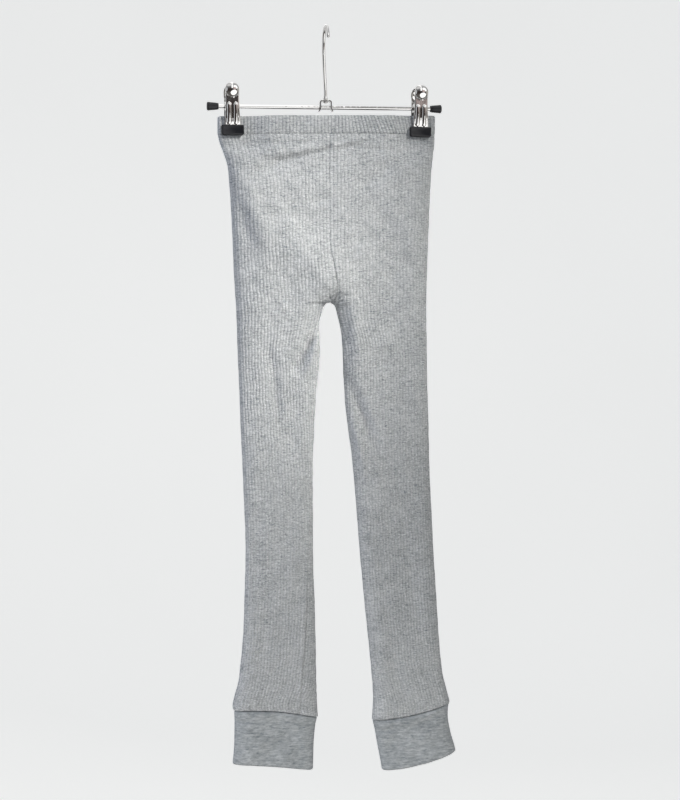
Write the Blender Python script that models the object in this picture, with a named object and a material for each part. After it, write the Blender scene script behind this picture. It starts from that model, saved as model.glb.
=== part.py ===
"""Ribbed leggings for a small child, hanging from a chromed hanger with two clips.

Metres, +Z up. The front of the leggings faces -Y and the wearer's right leg is at -X.
The origin is the inside of the hook, at the top, where it rests on a rail or a peg.
"""
import math
from collections import namedtuple

import bmesh
import bpy
from mathutils import Matrix, Vector

# ---------------------------------------------------------------- driving sizes
GAP = 0.0003               # between neighbouring pieces

# cloth
LEG_WALL = 0.0014          # rib knit, without the ribs
BAND_WALL = 0.0026         # two layers of rib knit with the elastic between them
CUFF_WALL = 0.0024         # two layers of plain jersey
RIB_HEIGHT = 0.0006
HIP_RIB_PITCH = 0.0032     # the ribs are stretched over the hips
LEG_RIB_PITCH = 0.0027     # and close up down the legs
RIB_CLOSES_FROM = -0.215   # height where the pitch starts to change
RIB_CLOSES_TO = -0.345
ROUND_RATIO = 1.8          # length of a fold's rounding for each unit of half depth

# where the clips squeeze the cloth
HELD_DEPTH = 0.00275       # half depth of the cloth between the pads
HELD_MIDDLE = 0.0021       # X half way between the clips
HELD_FROM = 0.0510         # distance from there where the squeeze begins
HELD_FULL = 0.0776         # and where it is complete

# hanger
WIRE_RADIUS = 0.0015
HOOK_INNER_RADIUS = 0.0152
BAR_RADIUS = 0.0018
BAR_HALF_LENGTH = 0.1060
BAR_Z = -0.0739
BAR_TILT = math.radians(-1.1)   # the wearer's left end hangs higher
CAP_START = 0.0995
CAP_END = 0.1102
CLIP_X = {"right": -0.0873, "left": 0.0893}
CLIP_LEAN = {"right": math.radians(-0.4), "left": math.radians(1.6)}   # pulled in by the waistband
SHEET = 0.0009             # thickness of the clips' sheet metal

# how finely the pieces are drawn
FINE = 160                 # steps of the line that the ribs are spaced along
PLAIN = 8                  # steps of the plain inside on each face
KEEP_CLEAR = 0.3           # a rib nearer to a seam than this share of a step runs into it
WIDEST_PANEL = 0.14        # no face of a leg's panel is wider than this
ROUND_SIDES = 16           # sides of round pieces
SHARP_ANGLE = math.radians(45)  # faces that meet more sharply show an edge

# the hook and its stirrup
STIRRUP_TOP = -0.0674      # top face of the stirrup's plate
STIRRUP_SHEET = 0.0012
STIRRUP_DEPTH = 0.0064
STIRRUP_HALF_WIDTH = 0.0057
STIRRUP_FOOT_HALF_WIDTH = 0.0071
STIRRUP_BOTTOM = -0.0777
STIRRUP_BEND = 0.0021      # outer radius of its two bends
STIRRUP_BEND_STEPS = 4
STIRRUP_FLARE = 0.0003     # its legs open by this much
STIRRUP_FLARE_HEIGHT = 0.0022   # down to here above its feet, which splay from there
HOLE_CLEARANCE = 0.0004    # round the wire and the bar in the stirrup
CUT_REACH = 0.0100         # half length of the tools that drill holes along the bar
HEAD_RADIUS = 0.0021       # the riveted head under the plate and the flared foot above it
HOOK_BACK_REACH = 0.0115   # the hook's back is drawn in, its front is round
HOOK_BACK_ANGLE = math.radians(118)
HOOK_TIP_ANGLE = math.radians(-76)
HOOK_STEPS = 18
WirePoint = namedtuple("WirePoint", "y z radius")
SHANK = [WirePoint(*row) for row in (
    (0.0, STIRRUP_TOP - STIRRUP_SHEET - 0.0014, 0.7 * HEAD_RADIUS),
    (0.0, STIRRUP_TOP - STIRRUP_SHEET - 0.0009, HEAD_RADIUS),
    (0.0, STIRRUP_TOP - STIRRUP_SHEET - 0.0004, HEAD_RADIUS),
    (0.0, STIRRUP_TOP - STIRRUP_SHEET - 0.0003, WIRE_RADIUS),
    (0.0, STIRRUP_TOP + 0.0003, WIRE_RADIUS),
    (0.0, STIRRUP_TOP + 0.0004, HEAD_RADIUS),
    (0.0, STIRRUP_TOP + 0.0020, HEAD_RADIUS),
    (0.0, STIRRUP_TOP + 0.0042, WIRE_RADIUS),
    (0.0002, -0.0590, WIRE_RADIUS),
    (0.0011, -0.0540, WIRE_RADIUS),
    (0.0026, -0.0490, WIRE_RADIUS),
    (0.0044, -0.0438, WIRE_RADIUS),
    (0.0062, -0.0384, WIRE_RADIUS),
    (0.0078, -0.0330, WIRE_RADIUS),
    (0.0091, -0.0278, WIRE_RADIUS),
)]
TIP = ((0.0006, 0.93), (0.0011, 0.72), (0.0014, 0.40))   # beyond the arc's end: distance, share of radius

# A bar cap's outside in section, from its collar to its round end: (x, radius).
CAP_PROFILE = (
    (CAP_START, 0.0029), (CAP_START + 0.0005, 0.0034), (CAP_END - 0.0016, 0.0041),
    (CAP_END - 0.0004, 0.0038), (CAP_END, 0.0031), (CAP_END, 0.0),
)

# One half of a clip, in rows from its thumb dome down to its jaw, with Z from the bar's axis.
# `face` is the distance of the sheet's outside from the bar's axis, `crown` how far the middle
# stands proud of the edges, and `flute` how far the two long flutes are raised.
PlateRow = namedtuple("PlateRow", "z half_width face crown flute")
TONGUE_TOP = -0.0177       # below it the sheet is flat, inside the pad
PLATE = [PlateRow(*row) for row in (
    (0.0207, 0.0016, 0.0074, 0.0004, 0.0),
    (0.0200, 0.0036, 0.0080, 0.0010, 0.0),
    (0.0184, 0.0053, 0.0086, 0.0022, 0.0),
    (0.0152, 0.0063, 0.0088, 0.0032, 0.0),
    (0.0112, 0.0064, 0.0085, 0.0026, 0.0),
    (0.0076, 0.0061, 0.0080, 0.0003, 0.0),
    (0.0043, 0.0061, 0.0080, 0.0003, 0.0),
    (0.0037, 0.0061, 0.0080, 0.0003, 0.0),
    (0.0016, 0.0062, 0.0080, 0.0003, 0.0004),
    (-0.0018, 0.0063, 0.0079, 0.0003, 0.0008),
    (-0.0037, 0.0064, 0.0078, 0.0003, 0.0008),
    (-0.0043, 0.0064, 0.0077, 0.0003, 0.0008),
    (-0.0160, 0.0072, 0.0062, 0.0002, 0.0006),
    (TONGUE_TOP, 0.0073, 0.00575, 0.0, 0.0),
    (-0.0262, 0.0073, 0.00575, 0.0, 0.0),
)]
PLATE_STEPS = 6            # across the face
FLUTE_PLACE = 0.48         # shares of the half width
FLUTE_WIDTH = 0.32
FLANGE = 0.0011            # how far the edges turn back towards the other half
EDGE = 0.0002              # the rounded edge of the tongue in the jaw
EAR_RADIUS = 0.0040        # the lug round the bar
EAR_NEST = 0.0013          # the back half's lugs lie inside the front half's
EAR_HOLE_RADIUS = 0.0022
SPRING_PLAY = 0.0004       # between the coil and the bar
SPRING_RADIUS = 0.0038
SPRING_HALF_LENGTH = 0.0035
JAW_TOP = -0.0180
JAW_BOTTOM = -0.0274
JAW_HALF_WIDTH = 0.0101
JAW_INNER = HELD_DEPTH + RIB_HEIGHT + GAP
JAW_OUTER = JAW_INNER + 0.0034
JAW_CORNER = 0.0020        # radius of a pad's lower corners
JAW_TOP_CORNER = 0.0006
JAW_CORNER_STEPS = 4

# ---------------------------------------------------------------- tables of sections
# A section runs from the side fold to the rise seam, or below the crotch to the leg's inner fold.
# `front` and `back` are half depths, `seam` is the share of them left at the rise seam,
# `held` is how much of the clips' squeeze is left, and `bow` lifts the middle of the row.
Section = namedtuple("Section", "side_x side_z inner_x inner_z front back seam held bow")

TorsoRow = namedtuple("TorsoRow", "right_x right_z left_x left_z seam_x seam_z front back seam held")
TORSO = [TorsoRow(*row) for row in (
    (-0.0996, -0.1025, 0.1034, -0.0964, 0.0027, -0.0993, 0.0078, 0.0078, 1.00, 1.00),
    (-0.0985, -0.1075, 0.1032, -0.1035, 0.0026, -0.1055, 0.0089, 0.0092, 1.00, 0.98),
    (-0.0904, -0.1328, 0.1004, -0.1300, 0.0021, -0.1310, 0.0120, 0.0130, 1.00, 0.00),
    (-0.0861, -0.2000, 0.0971, -0.1990, 0.0019, -0.1995, 0.0134, 0.0153, 1.00, 0.00),
    (-0.0846, -0.2325, 0.0958, -0.2320, 0.0074, -0.2327, 0.0130, 0.0150, 1.00, 0.00),
    (-0.0835, -0.2500, 0.0955, -0.2510, 0.0084, -0.2490, 0.0124, 0.0140, 0.68, 0.00),
    (-0.0831, -0.2565, 0.0955, -0.2570, 0.0052, -0.2547, 0.0120, 0.0135, 0.00, 0.00),
)]

LegRow = namedtuple("LegRow", "side_x side_z inner_x inner_z front back bow")
LEGS = {
    "right": [LegRow(*row) for row in (
        (-0.0828, -0.2620, 0.0009, -0.2556, 0.0118, 0.0130, 0.0),
        (-0.0824, -0.2700, -0.0036, -0.2645, 0.0113, 0.0122, 0.0),
        (-0.0819, -0.2820, -0.0064, -0.2787, 0.0106, 0.0112, 0.0),
        (-0.0812, -0.3030, -0.0057, -0.3000, 0.0098, 0.0104, 0.0),
        (-0.0796, -0.3440, -0.0098, -0.3440, 0.0088, 0.0094, 0.0),
        (-0.0766, -0.4100, -0.0125, -0.4120, 0.0080, 0.0085, 0.0),
        (-0.0741, -0.4800, -0.0123, -0.4780, 0.0076, 0.0080, 0.0),
        (-0.0755, -0.5480, -0.0103, -0.5500, 0.0076, 0.0080, 0.0),
        (-0.0800, -0.6020, -0.0091, -0.6060, 0.0080, 0.0084, 0.0),
        (-0.0861, -0.6267, -0.0084, -0.6305, 0.0086, 0.0090, 0.0015),
        (-0.0850, -0.6306, -0.0079, -0.6390, 0.0080, 0.0084, 0.0020),
    )],
    "left": [LegRow(*row) for row in (
        (0.0955, -0.2630, 0.0089, -0.2577, 0.0118, 0.0130, 0.0),
        (0.0955, -0.2710, 0.0112, -0.2660, 0.0113, 0.0122, 0.0),
        (0.0956, -0.2840, 0.0148, -0.2810, 0.0106, 0.0112, 0.0),
        (0.0959, -0.3050, 0.0164, -0.3010, 0.0098, 0.0104, 0.0),
        (0.0968, -0.3460, 0.0189, -0.3460, 0.0088, 0.0094, 0.0),
        (0.0983, -0.4110, 0.0267, -0.4110, 0.0080, 0.0085, 0.0),
        (0.1015, -0.4740, 0.0319, -0.4740, 0.0076, 0.0080, 0.0),
        (0.1054, -0.5400, 0.0380, -0.5400, 0.0076, 0.0080, 0.0),
        (0.1100, -0.5980, 0.0439, -0.5980, 0.0080, 0.0084, 0.0),
        (0.1167, -0.6248, 0.0456, -0.6290, 0.0086, 0.0090, -0.0010),
        (0.1179, -0.6294, 0.0445, -0.6436, 0.0080, 0.0084, -0.0020),
    )],
}

# The first row of a cuff is the last row of its leg, lowered by the gap between them.
CUFFS = {
    "right": [LegRow(*row) for row in (
        (-0.0849, -0.6342, -0.0086, -0.6418, 0.0092, 0.0096, 0.0020),
        (-0.0847, -0.6400, -0.0096, -0.6465, 0.0082, 0.0086, 0.0018),
        (-0.0849, -0.6580, -0.0112, -0.6640, 0.0084, 0.0090, 0.0015),
        (-0.0864, -0.6785, -0.0118, -0.6862, 0.0090, 0.0095, 0.0013),
        (-0.0868, -0.6800, -0.0119, -0.6880, 0.0083, 0.0088, 0.0012),
    )],
    "left": [LegRow(*row) for row in (
        (0.1168, -0.6335, 0.0451, -0.6470, 0.0092, 0.0096, -0.0020),
        (0.1164, -0.6410, 0.0462, -0.6515, 0.0082, 0.0086, -0.0022),
        (0.1190, -0.6575, 0.0490, -0.6670, 0.0084, 0.0090, -0.0026),
        (0.1238, -0.6745, 0.0532, -0.6893, 0.0090, 0.0095, -0.0030),
        (0.1240, -0.6760, 0.0534, -0.6910, 0.0083, 0.0088, -0.0030),
    )],
}

# The waistband, a ring from fold to fold. `drop` is the share of its height below the top edge.
BAND_LEFT_END = 0.1036
BAND_RIGHT_END = -0.0998
BAND_TOP_Z = -0.0819       # at X = 0
BAND_TOP_SLOPE = 0.0335    # the band hangs higher at the wearer's left
BAND_BOTTOM_Z = -0.0992
BAND_BOTTOM_SLOPE = 0.0300
BAND_EDGE_ROUND = 0.0009   # how far the top and bottom edges draw in
BandRow = namedtuple("BandRow", "drop depth held_depth")
BAND = [BandRow(*row) for row in (
    (0.00, 0.0062, HELD_DEPTH - BAND_EDGE_ROUND),
    (0.07, 0.0071, HELD_DEPTH),
    (0.95, 0.0078, HELD_DEPTH),
    (1.00, 0.0075, HELD_DEPTH - BAND_EDGE_ROUND / 3.0),
)]
BAND_RIB_LEAN = 0.0055     # the ribs lean by this much over the band's height, where it was sewn askew
BAND_LEAN_MIDDLE = 0.0560  # X of the middle of the leaning ribs, on the front
BAND_LEAN_REACH = 0.0480

# The largest folds. Depth is inwards, so a ridge has a negative one. `lean` turns the fold's
# length from upright, clockwise as seen from the front.
Fold = namedtuple("Fold", "face x z length width depth lean")
FOLDS = [Fold(*row) for row in (
    ("front", -0.0155, -0.2960, 0.064, 0.0062, 0.0024, math.radians(28)),
    ("front", 0.0265, -0.3100, 0.120, 0.0075, -0.0022, math.radians(3)),
    ("front", -0.0745, -0.2050, 0.120, 0.0080, 0.0028, math.radians(-2)),
    ("front", -0.0620, -0.1900, 0.130, 0.0110, -0.0020, math.radians(-4)),
    ("front", 0.0060, -0.2150, 0.090, 0.0240, -0.0025, 0.0),
    ("front", -0.0300, -0.1160, 0.060, 0.0060, 0.0014, math.radians(84)),
    ("front", 0.0620, -0.2400, 0.100, 0.0130, 0.0016, math.radians(14)),
    ("front", -0.0440, -0.4600, 0.140, 0.0100, 0.0014, math.radians(5)),
    ("front", 0.0800, -0.5200, 0.150, 0.0100, 0.0015, math.radians(-7)),
    ("back", -0.0400, -0.2300, 0.110, 0.0110, 0.0022, math.radians(30)),
    ("back", 0.0480, -0.2350, 0.110, 0.0110, 0.0022, math.radians(-30)),
    ("back", -0.0350, -0.4300, 0.160, 0.0100, 0.0016, math.radians(-6)),
    ("back", 0.0650, -0.4500, 0.160, 0.0100, 0.0016, math.radians(6)),
)]


# ---------------------------------------------------------------- curves of the cloth
def smooth(value):
    """Ease from 0 to 1."""
    value = min(max(value, 0.0), 1.0)
    return value * value * (3.0 - 2.0 * value)


def rounding(distance, length):
    """A quarter ellipse: 0 at a fold, 1 from `length` onwards."""
    value = 1.0 - min(max(distance / length, 0.0), 1.0)
    return math.sqrt(1.0 - value * value)


def held_share(x):
    """How much of the cloth at x is squeezed by a clip, from 0 to 1."""
    return smooth((abs(x - HELD_MIDDLE) - HELD_FROM) / (HELD_FULL - HELD_FROM))


def fold_depth(face, x, z):
    """The inward depth of all folds together, at a place on the front or the back."""
    total = 0.0
    for fold in FOLDS:
        if fold.face != face:
            continue
        right, up = x - fold.x, z - fold.z
        across = right * math.cos(fold.lean) - up * math.sin(fold.lean)
        along = right * math.sin(fold.lean) + up * math.cos(fold.lean)
        fade = max(0.0, 1.0 - (2.0 * along / fold.length) ** 2) ** 2
        total += fold.depth * fade * math.exp(-(across / fold.width) ** 2)
    return total


def half_depth(section, depth, held_depth, both_ends, x):
    """Distance of the cloth from the middle plane at x, on one face, and the share of the full depth."""
    side = abs(x - section.side_x)
    inner = abs(x - section.inner_x)
    length = ROUND_RATIO * depth
    turn = rounding(inner, length)
    share = rounding(side, length) * math.sqrt(section.seam ** 2 + (1.0 - section.seam ** 2) * turn ** 2)
    edge = min(side, inner) if both_ends else side
    squeeze = section.held * held_share(x)
    return (1.0 - squeeze) * depth * share + squeeze * held_depth * rounding(edge, held_depth), share


def face_line(section, face, inset, held_depth, both_ends, count):
    """Points on one face of a section, from the side fold to the inner end, `inset` from the outside."""
    depth = (section.front if face == "front" else section.back) - inset
    sign = -1.0 if face == "front" else 1.0
    points = []
    for step in range(count + 1):
        share = 0.5 - 0.5 * math.cos(math.pi * step / count)
        x = section.side_x + (section.inner_x - section.side_x) * share
        z = section.side_z + (section.inner_z - section.side_z) * share
        z += section.bow * 4.0 * share * (1.0 - share)
        half, rounded = half_depth(section, depth, held_depth - inset, both_ends, x)
        half -= fold_depth(face, x, z) * rounded * (1.0 - section.held * held_share(x))
        points.append(Vector((x, sign * half, z)))
    return points


def line_lengths(points):
    """Length along a line to each of its points, seen from above."""
    lengths = [0.0]
    for first, second in zip(points, points[1:]):
        lengths.append(lengths[-1] + math.hypot(second.x - first.x, second.y - first.y))
    return lengths


def point_along(points, lengths, distance):
    """The point at a distance along a line, and the line's direction there."""
    low, high = 0, len(points) - 1
    while high - low > 1:
        middle = (low + high) // 2
        if lengths[middle] <= distance:
            low = middle
        else:
            high = middle
    span = lengths[high] - lengths[low]
    share = (distance - lengths[low]) / span if span > 0.0 else 0.0
    return points[low].lerp(points[high], share), points[high] - points[low]


def raised(point, direction, outward, height):
    """The point moved out of the cloth by a rib's height."""
    normal = Vector((direction.y, -direction.x, 0.0))
    if normal.length == 0.0:
        return point.copy()
    normal.normalize()
    if normal.dot(outward) < 0.0:
        normal.negate()
    return point + normal * height


def rib_pitch(z):
    """Distance from one rib to the next at a height."""
    closed = smooth((z - RIB_CLOSES_FROM) / (RIB_CLOSES_TO - RIB_CLOSES_FROM))
    return HIP_RIB_PITCH + (LEG_RIB_PITCH - HIP_RIB_PITCH) * closed


# ---------------------------------------------------------------- mesh helpers
MATERIALS = {}
LOOKS = {
    # name: (colour, roughness, metallic)
    "rib_knit": ((0.47, 0.49, 0.49, 1.0), 0.95, 0.0),
    "plain_jersey": ((0.36, 0.38, 0.385, 1.0), 0.95, 0.0),
    "chrome_steel": ((0.60, 0.59, 0.58, 1.0), 0.12, 1.0),
    "black_rubber": ((0.012, 0.013, 0.016, 1.0), 0.45, 0.0),
    "spring_steel": ((0.40, 0.39, 0.38, 1.0), 0.30, 1.0),
}


def material(name):
    """The Principled material of one finish, made once."""
    if name not in MATERIALS:
        colour, roughness, metallic = LOOKS[name]
        made = bpy.data.materials.new(name)
        made.use_nodes = True
        shader = made.node_tree.nodes["Principled BSDF"]
        shader.inputs["Base Color"].default_value = colour
        shader.inputs["Roughness"].default_value = roughness
        shader.inputs["Metallic"].default_value = metallic
        made.diffuse_color = colour
        MATERIALS[name] = made
    return MATERIALS[name]


def add_object(name, mesh, finish, parent=None):
    """One named piece in the scene."""
    piece = bpy.data.objects.new(name, mesh)
    bpy.context.collection.objects.link(piece)
    piece.data.materials.append(material(finish))
    if parent:
        piece.parent = parent
    return piece


def mesh_from(name, points, faces):
    """A closed mesh with its faces pointing out."""
    mesh = bpy.data.meshes.new(name)
    mesh.from_pydata(points, [], faces)
    work = bmesh.new()
    work.from_mesh(mesh)
    bmesh.ops.recalc_face_normals(work, faces=work.faces)
    bmesh.ops.triangulate(work, faces=work.faces)
    work.to_mesh(mesh)
    work.free()
    mesh.shade_smooth()
    mesh.set_sharp_from_angle(angle=SHARP_ANGLE)
    return mesh


def cutter(name, mesh, parent=None):
    """A hidden piece that only cuts others."""
    piece = bpy.data.objects.new(name, mesh)
    bpy.context.collection.objects.link(piece)
    piece.hide_render = True
    piece.display_type = "WIRE"
    if parent:
        piece.parent = parent
    return piece


def cut(piece, tool):
    """Take the tool's shape out of the piece."""
    step = piece.modifiers.new("cut_" + tool.name, "BOOLEAN")
    step.operation = "DIFFERENCE"
    step.solver = "EXACT"
    step.object = tool


def strip_faces(upper, lower):
    """Faces between two rows of point numbers; numbers that repeat make triangles or nothing."""
    faces = []
    for place in range(len(upper) - 1):
        corners = []
        for number in (upper[place], upper[place + 1], lower[place + 1], lower[place]):
            if number not in corners:
                corners.append(number)
        if len(corners) > 2:
            faces.append(corners)
    return faces


def zip_faces(one_edge, other_edge, points):
    """Triangles between two edges with different numbers of points, always across the shorter way."""
    faces = []
    one, other = 0, 0
    while one < len(one_edge) - 1 or other < len(other_edge) - 1:
        one_way, other_way = math.inf, math.inf
        if one < len(one_edge) - 1:
            one_way = math.dist(points[one_edge[one + 1]], points[other_edge[other]])
        if other < len(other_edge) - 1:
            other_way = math.dist(points[one_edge[one]], points[other_edge[other + 1]])
        if one_way <= other_way:
            corners = (one_edge[one], one_edge[one + 1], other_edge[other])
            one += 1
        else:
            corners = (one_edge[one], other_edge[other + 1], other_edge[other])
            other += 1
        if len(set(corners)) == 3:
            faces.append(corners)
    return faces


class Wall:
    """A cloth wall: rows of outer and inner points, joined at its rims."""

    def __init__(self):
        self.points = []
        self.outer = []
        self.inner = []

    def add(self, point):
        """Keep one point and give its number."""
        self.points.append(tuple(point))
        return len(self.points) - 1

    def faces(self):
        """All faces: both skins, the two rims, and the cut edges of rows that aren't closed."""
        faces = []
        for rows in (self.outer, self.inner):
            for upper, lower in zip(rows, rows[1:]):
                faces += strip_faces(upper, lower)
        for end in (0, -1):
            faces += zip_faces(self.outer[end], self.inner[end], self.points)
        for row, numbers in enumerate(self.outer[:-1]):
            if numbers[0] == numbers[-1]:
                continue
            for end in (0, -1):
                faces.append((numbers[end], self.inner[row][end],
                              self.inner[row + 1][end], self.outer[row + 1][end]))
        return faces


# ---------------------------------------------------------------- rows of points
def ribbed_half(section, face, held_depth, columns):
    """Outer points on one face, from the first groove beside the side fold, and the inner end's point."""
    line = face_line(section, face, 0.0, held_depth, False, FINE)
    lengths = line_lengths(line)
    step = rib_pitch(0.5 * (section.side_z + section.inner_z)) / 2.0
    outward = Vector((0.0, -1.0 if face == "front" else 1.0, 0.0))
    points = []
    for column in range(1, columns):
        distance = column * step
        if distance > lengths[-1] - KEEP_CLEAR * step:
            break
        point, direction = point_along(line, lengths, distance)
        height = RIB_HEIGHT if column % 2 == 0 else 0.0
        points.append(raised(point, direction, outward, height))
    return points, line[-1]


def inset_ends(sections, wall):
    """The same sections, drawn in to the inside of the wall."""
    made = []
    last = len(sections) - 1
    crotch = next((number for number, row in enumerate(sections) if row.seam == 0.0), 0)
    for number, row in enumerate(sections):
        above, below = sections[max(number - 1, 0)], sections[min(number + 1, last)]
        toward = 1.0 if row.inner_x > row.side_x else -1.0
        side = Vector((above.side_x - below.side_x, above.side_z - below.side_z)).normalized()
        side_shift = Vector((side.y, -side.x)) * wall * toward
        if number < crotch or (number == crotch and crotch > 0):
            inner_shift = Vector((0.0, wall * math.sqrt(1.0 - row.seam ** 2)))
        else:
            inner = Vector((above.inner_x - below.inner_x, above.inner_z - below.inner_z)).normalized()
            inner_shift = Vector((-inner.y, inner.x)) * wall * toward
        if number in (0, last):
            side_shift.y = 0.0
            inner_shift.y = 0.0
        made.append(row._replace(
            side_x=row.side_x + side_shift.x, side_z=row.side_z + side_shift.y,
            inner_x=row.inner_x + inner_shift.x, inner_z=row.inner_z + inner_shift.y))
    return made


def leg_sections(side):
    """All sections of one leg's panel, from the waist seam to the cuff seam."""
    toward = 1.0 if side == "right" else -1.0
    sections = []
    for row in TORSO:
        side_x, side_z = (row.right_x, row.right_z) if side == "right" else (row.left_x, row.left_z)
        seam_x = row.seam_x - toward * GAP / 2.0
        sections.append(Section(side_x, side_z, seam_x, row.seam_z,
                                row.front, row.back, row.seam, row.held, 0.0))
    for row in LEGS[side]:
        sections.append(Section(row.side_x, row.side_z, row.inner_x, row.inner_z,
                                row.front, row.back, 0.0, 0.0, row.bow))
    return sections


def cuff_sections(side):
    """All sections of one cuff, from the cuff seam to the hem."""
    seam = LEGS[side][-1]
    first = seam._replace(side_z=seam.side_z - GAP, inner_z=seam.inner_z - GAP)
    return [Section(row.side_x, row.side_z, row.inner_x, row.inner_z, row.front, row.back, 0.0, 0.0, row.bow)
            for row in [first] + CUFFS[side]]


def leg_mesh(side):
    """One leg's panel: open along the rise seam, and a closed tube below the crotch."""
    sections = leg_sections(side)
    crotch = len(TORSO) - 1
    wall = Wall()
    columns = int(WIDEST_PANEL / (LEG_RIB_PITCH / 2.0))
    halves = [{face: ribbed_half(section, face, HELD_DEPTH, columns) for face in ("front", "back")}
              for section in sections]
    longest = max(len(half[face][0]) for half in halves for face in half)
    for number, (section, half) in enumerate(zip(sections, halves)):
        ends = {face: wall.add(half[face][1]) for face in ("front", "back")} if number < crotch else None
        if ends is None:
            shared = wall.add(half["front"][1])
            ends = {"front": shared, "back": shared}
        toward = -1.0 if section.side_x < section.inner_x else 1.0
        fold = wall.add((section.side_x + toward * RIB_HEIGHT, 0.0, section.side_z))
        numbers = {}
        for face in ("front", "back"):
            made = [wall.add(point) for point in half[face][0]]
            made += [ends[face]] * (longest + 1 - len(made))
            numbers[face] = made
        wall.outer.append(list(reversed(numbers["front"])) + [fold] + numbers["back"])
    for number, section in enumerate(inset_ends(sections, LEG_WALL)):
        front = face_line(section, "front", LEG_WALL, HELD_DEPTH, False, PLAIN)
        back = face_line(section, "back", LEG_WALL, HELD_DEPTH, False, PLAIN)
        front_numbers = [wall.add(point) for point in front]
        back_numbers = [wall.add(point) for point in back[1:-1]]
        back_end = wall.add(back[-1]) if number < crotch else front_numbers[-1]
        wall.inner.append(list(reversed(front_numbers)) + back_numbers + [back_end])
    return mesh_from("leg_" + side, wall.points, wall.faces())


def plain_ring(wall, section, inset, steps, both_ends):
    """One closed row of a tube without ribs: round the front, the inner fold and the back."""
    front = face_line(section, "front", inset, HELD_DEPTH, both_ends, steps)
    back = face_line(section, "back", inset, HELD_DEPTH, both_ends, steps)
    numbers = [wall.add(point) for point in front]
    numbers += [wall.add(point) for point in reversed(back[1:-1])]
    return numbers + numbers[:1]


def cuff_mesh(side):
    """One cuff: a closed tube of plain jersey with a soft ridge under its seam."""
    sections = cuff_sections(side)
    wall = Wall()
    for section in sections:
        wall.outer.append(plain_ring(wall, section, 0.0, 2 * PLAIN, False))
    for section in inset_ends(sections, CUFF_WALL):
        wall.inner.append(plain_ring(wall, section, CUFF_WALL, PLAIN, False))
    return mesh_from("cuff_" + side, wall.points, wall.faces())


def band_section(row, inset_x):
    """The waistband's section at one height."""
    top = Section(BAND_RIGHT_END + inset_x, BAND_TOP_Z + BAND_TOP_SLOPE * BAND_RIGHT_END,
                  BAND_LEFT_END - inset_x, BAND_TOP_Z + BAND_TOP_SLOPE * BAND_LEFT_END,
                  row.depth, row.depth, 0.0, 1.0, 0.0)
    bottom = (BAND_BOTTOM_Z + BAND_BOTTOM_SLOPE * BAND_RIGHT_END,
              BAND_BOTTOM_Z + BAND_BOTTOM_SLOPE * BAND_LEFT_END)
    return top._replace(side_z=top.side_z + (bottom[0] - top.side_z) * row.drop,
                        inner_z=top.inner_z + (bottom[1] - top.inner_z) * row.drop)


def ribbed_ring(wall, row):
    """One closed row of the waistband's outside, with its ribs."""
    section = band_section(row, 0.0)
    front = face_line(section, "front", 0.0, row.held_depth, True, FINE)
    back = face_line(section, "back", 0.0, row.held_depth, True, FINE)
    line = front + list(reversed(back))[1:]
    lengths = line_lengths(line)
    ribs = round(2.0 * (BAND_LEFT_END - BAND_RIGHT_END) / HIP_RIB_PITCH)
    step = lengths[-1] / (2 * ribs)
    face_length = line_lengths(front)[-1]
    numbers = []
    for column in range(2 * ribs):
        distance = column * step
        place = front[0].x + distance
        if distance < face_length:
            lean = smooth(1.0 - abs(place - BAND_LEAN_MIDDLE) / BAND_LEAN_REACH)
            distance += BAND_RIB_LEAN * lean * (row.drop - 0.5)
        point, direction = point_along(line, lengths, distance)
        outward = Vector((0.0, -1.0 if distance < face_length else 1.0, 0.0))
        if column == 0:
            outward = Vector((-1.0, 0.0, 0.0))
            direction = Vector((0.0, 1.0, 0.0))
        height = RIB_HEIGHT if column % 2 == 0 else 0.0
        numbers.append(wall.add(raised(point, direction, outward, height)))
    return numbers + numbers[:1]


def band_mesh():
    """The waistband: a ring squeezed flat at both clips."""
    wall = Wall()
    for row in BAND:
        wall.outer.append(ribbed_ring(wall, row))
    for row in (BAND[0], BAND[-1]):
        section = band_section(row, BAND_WALL)
        wall.inner.append(plain_ring(wall, section, BAND_WALL, 2 * PLAIN, True))
    return mesh_from("waistband", wall.points, wall.faces())


# ---------------------------------------------------------------- the hanger
def hook_points():
    """The wire's middle line from its riveted head to its tip, with the radius at each point."""
    arc_radius = HOOK_INNER_RADIUS + WIRE_RADIUS
    route = list(SHANK)
    for step in range(HOOK_STEPS + 1):
        angle = HOOK_BACK_ANGLE + (HOOK_TIP_ANGLE - HOOK_BACK_ANGLE) * step / HOOK_STEPS
        reach = HOOK_BACK_REACH if angle > 0.0 else arc_radius
        height = arc_radius * math.cos(angle) - HOOK_INNER_RADIUS
        route.append(WirePoint(reach * math.sin(angle), height, WIRE_RADIUS))
    end = route[-1]
    for distance, share in TIP:
        y = end.y - math.cos(HOOK_TIP_ANGLE) * distance
        z = end.z + math.sin(HOOK_TIP_ANGLE) * distance
        route.append(WirePoint(y, z, WIRE_RADIUS * share))
    return route


def make_hook():
    """The hook: one wire with a flared foot above the stirrup and a riveted head below its plate."""
    curve = bpy.data.curves.new("hook", "CURVE")
    curve.dimensions = "3D"
    curve.bevel_depth = 1.0
    curve.bevel_resolution = 3
    curve.use_fill_caps = True
    curve.twist_mode = "MINIMUM"
    points = hook_points()
    spline = curve.splines.new("POLY")
    spline.points.add(len(points) - 1)
    for place, (y, z, radius) in zip(spline.points, points):
        place.co = (0.0, y, z, 1.0)
        place.radius = radius
    piece = bpy.data.objects.new("hook", curve)
    bpy.context.collection.objects.link(piece)
    curve.materials.append(material("chrome_steel"))
    return piece


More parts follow.
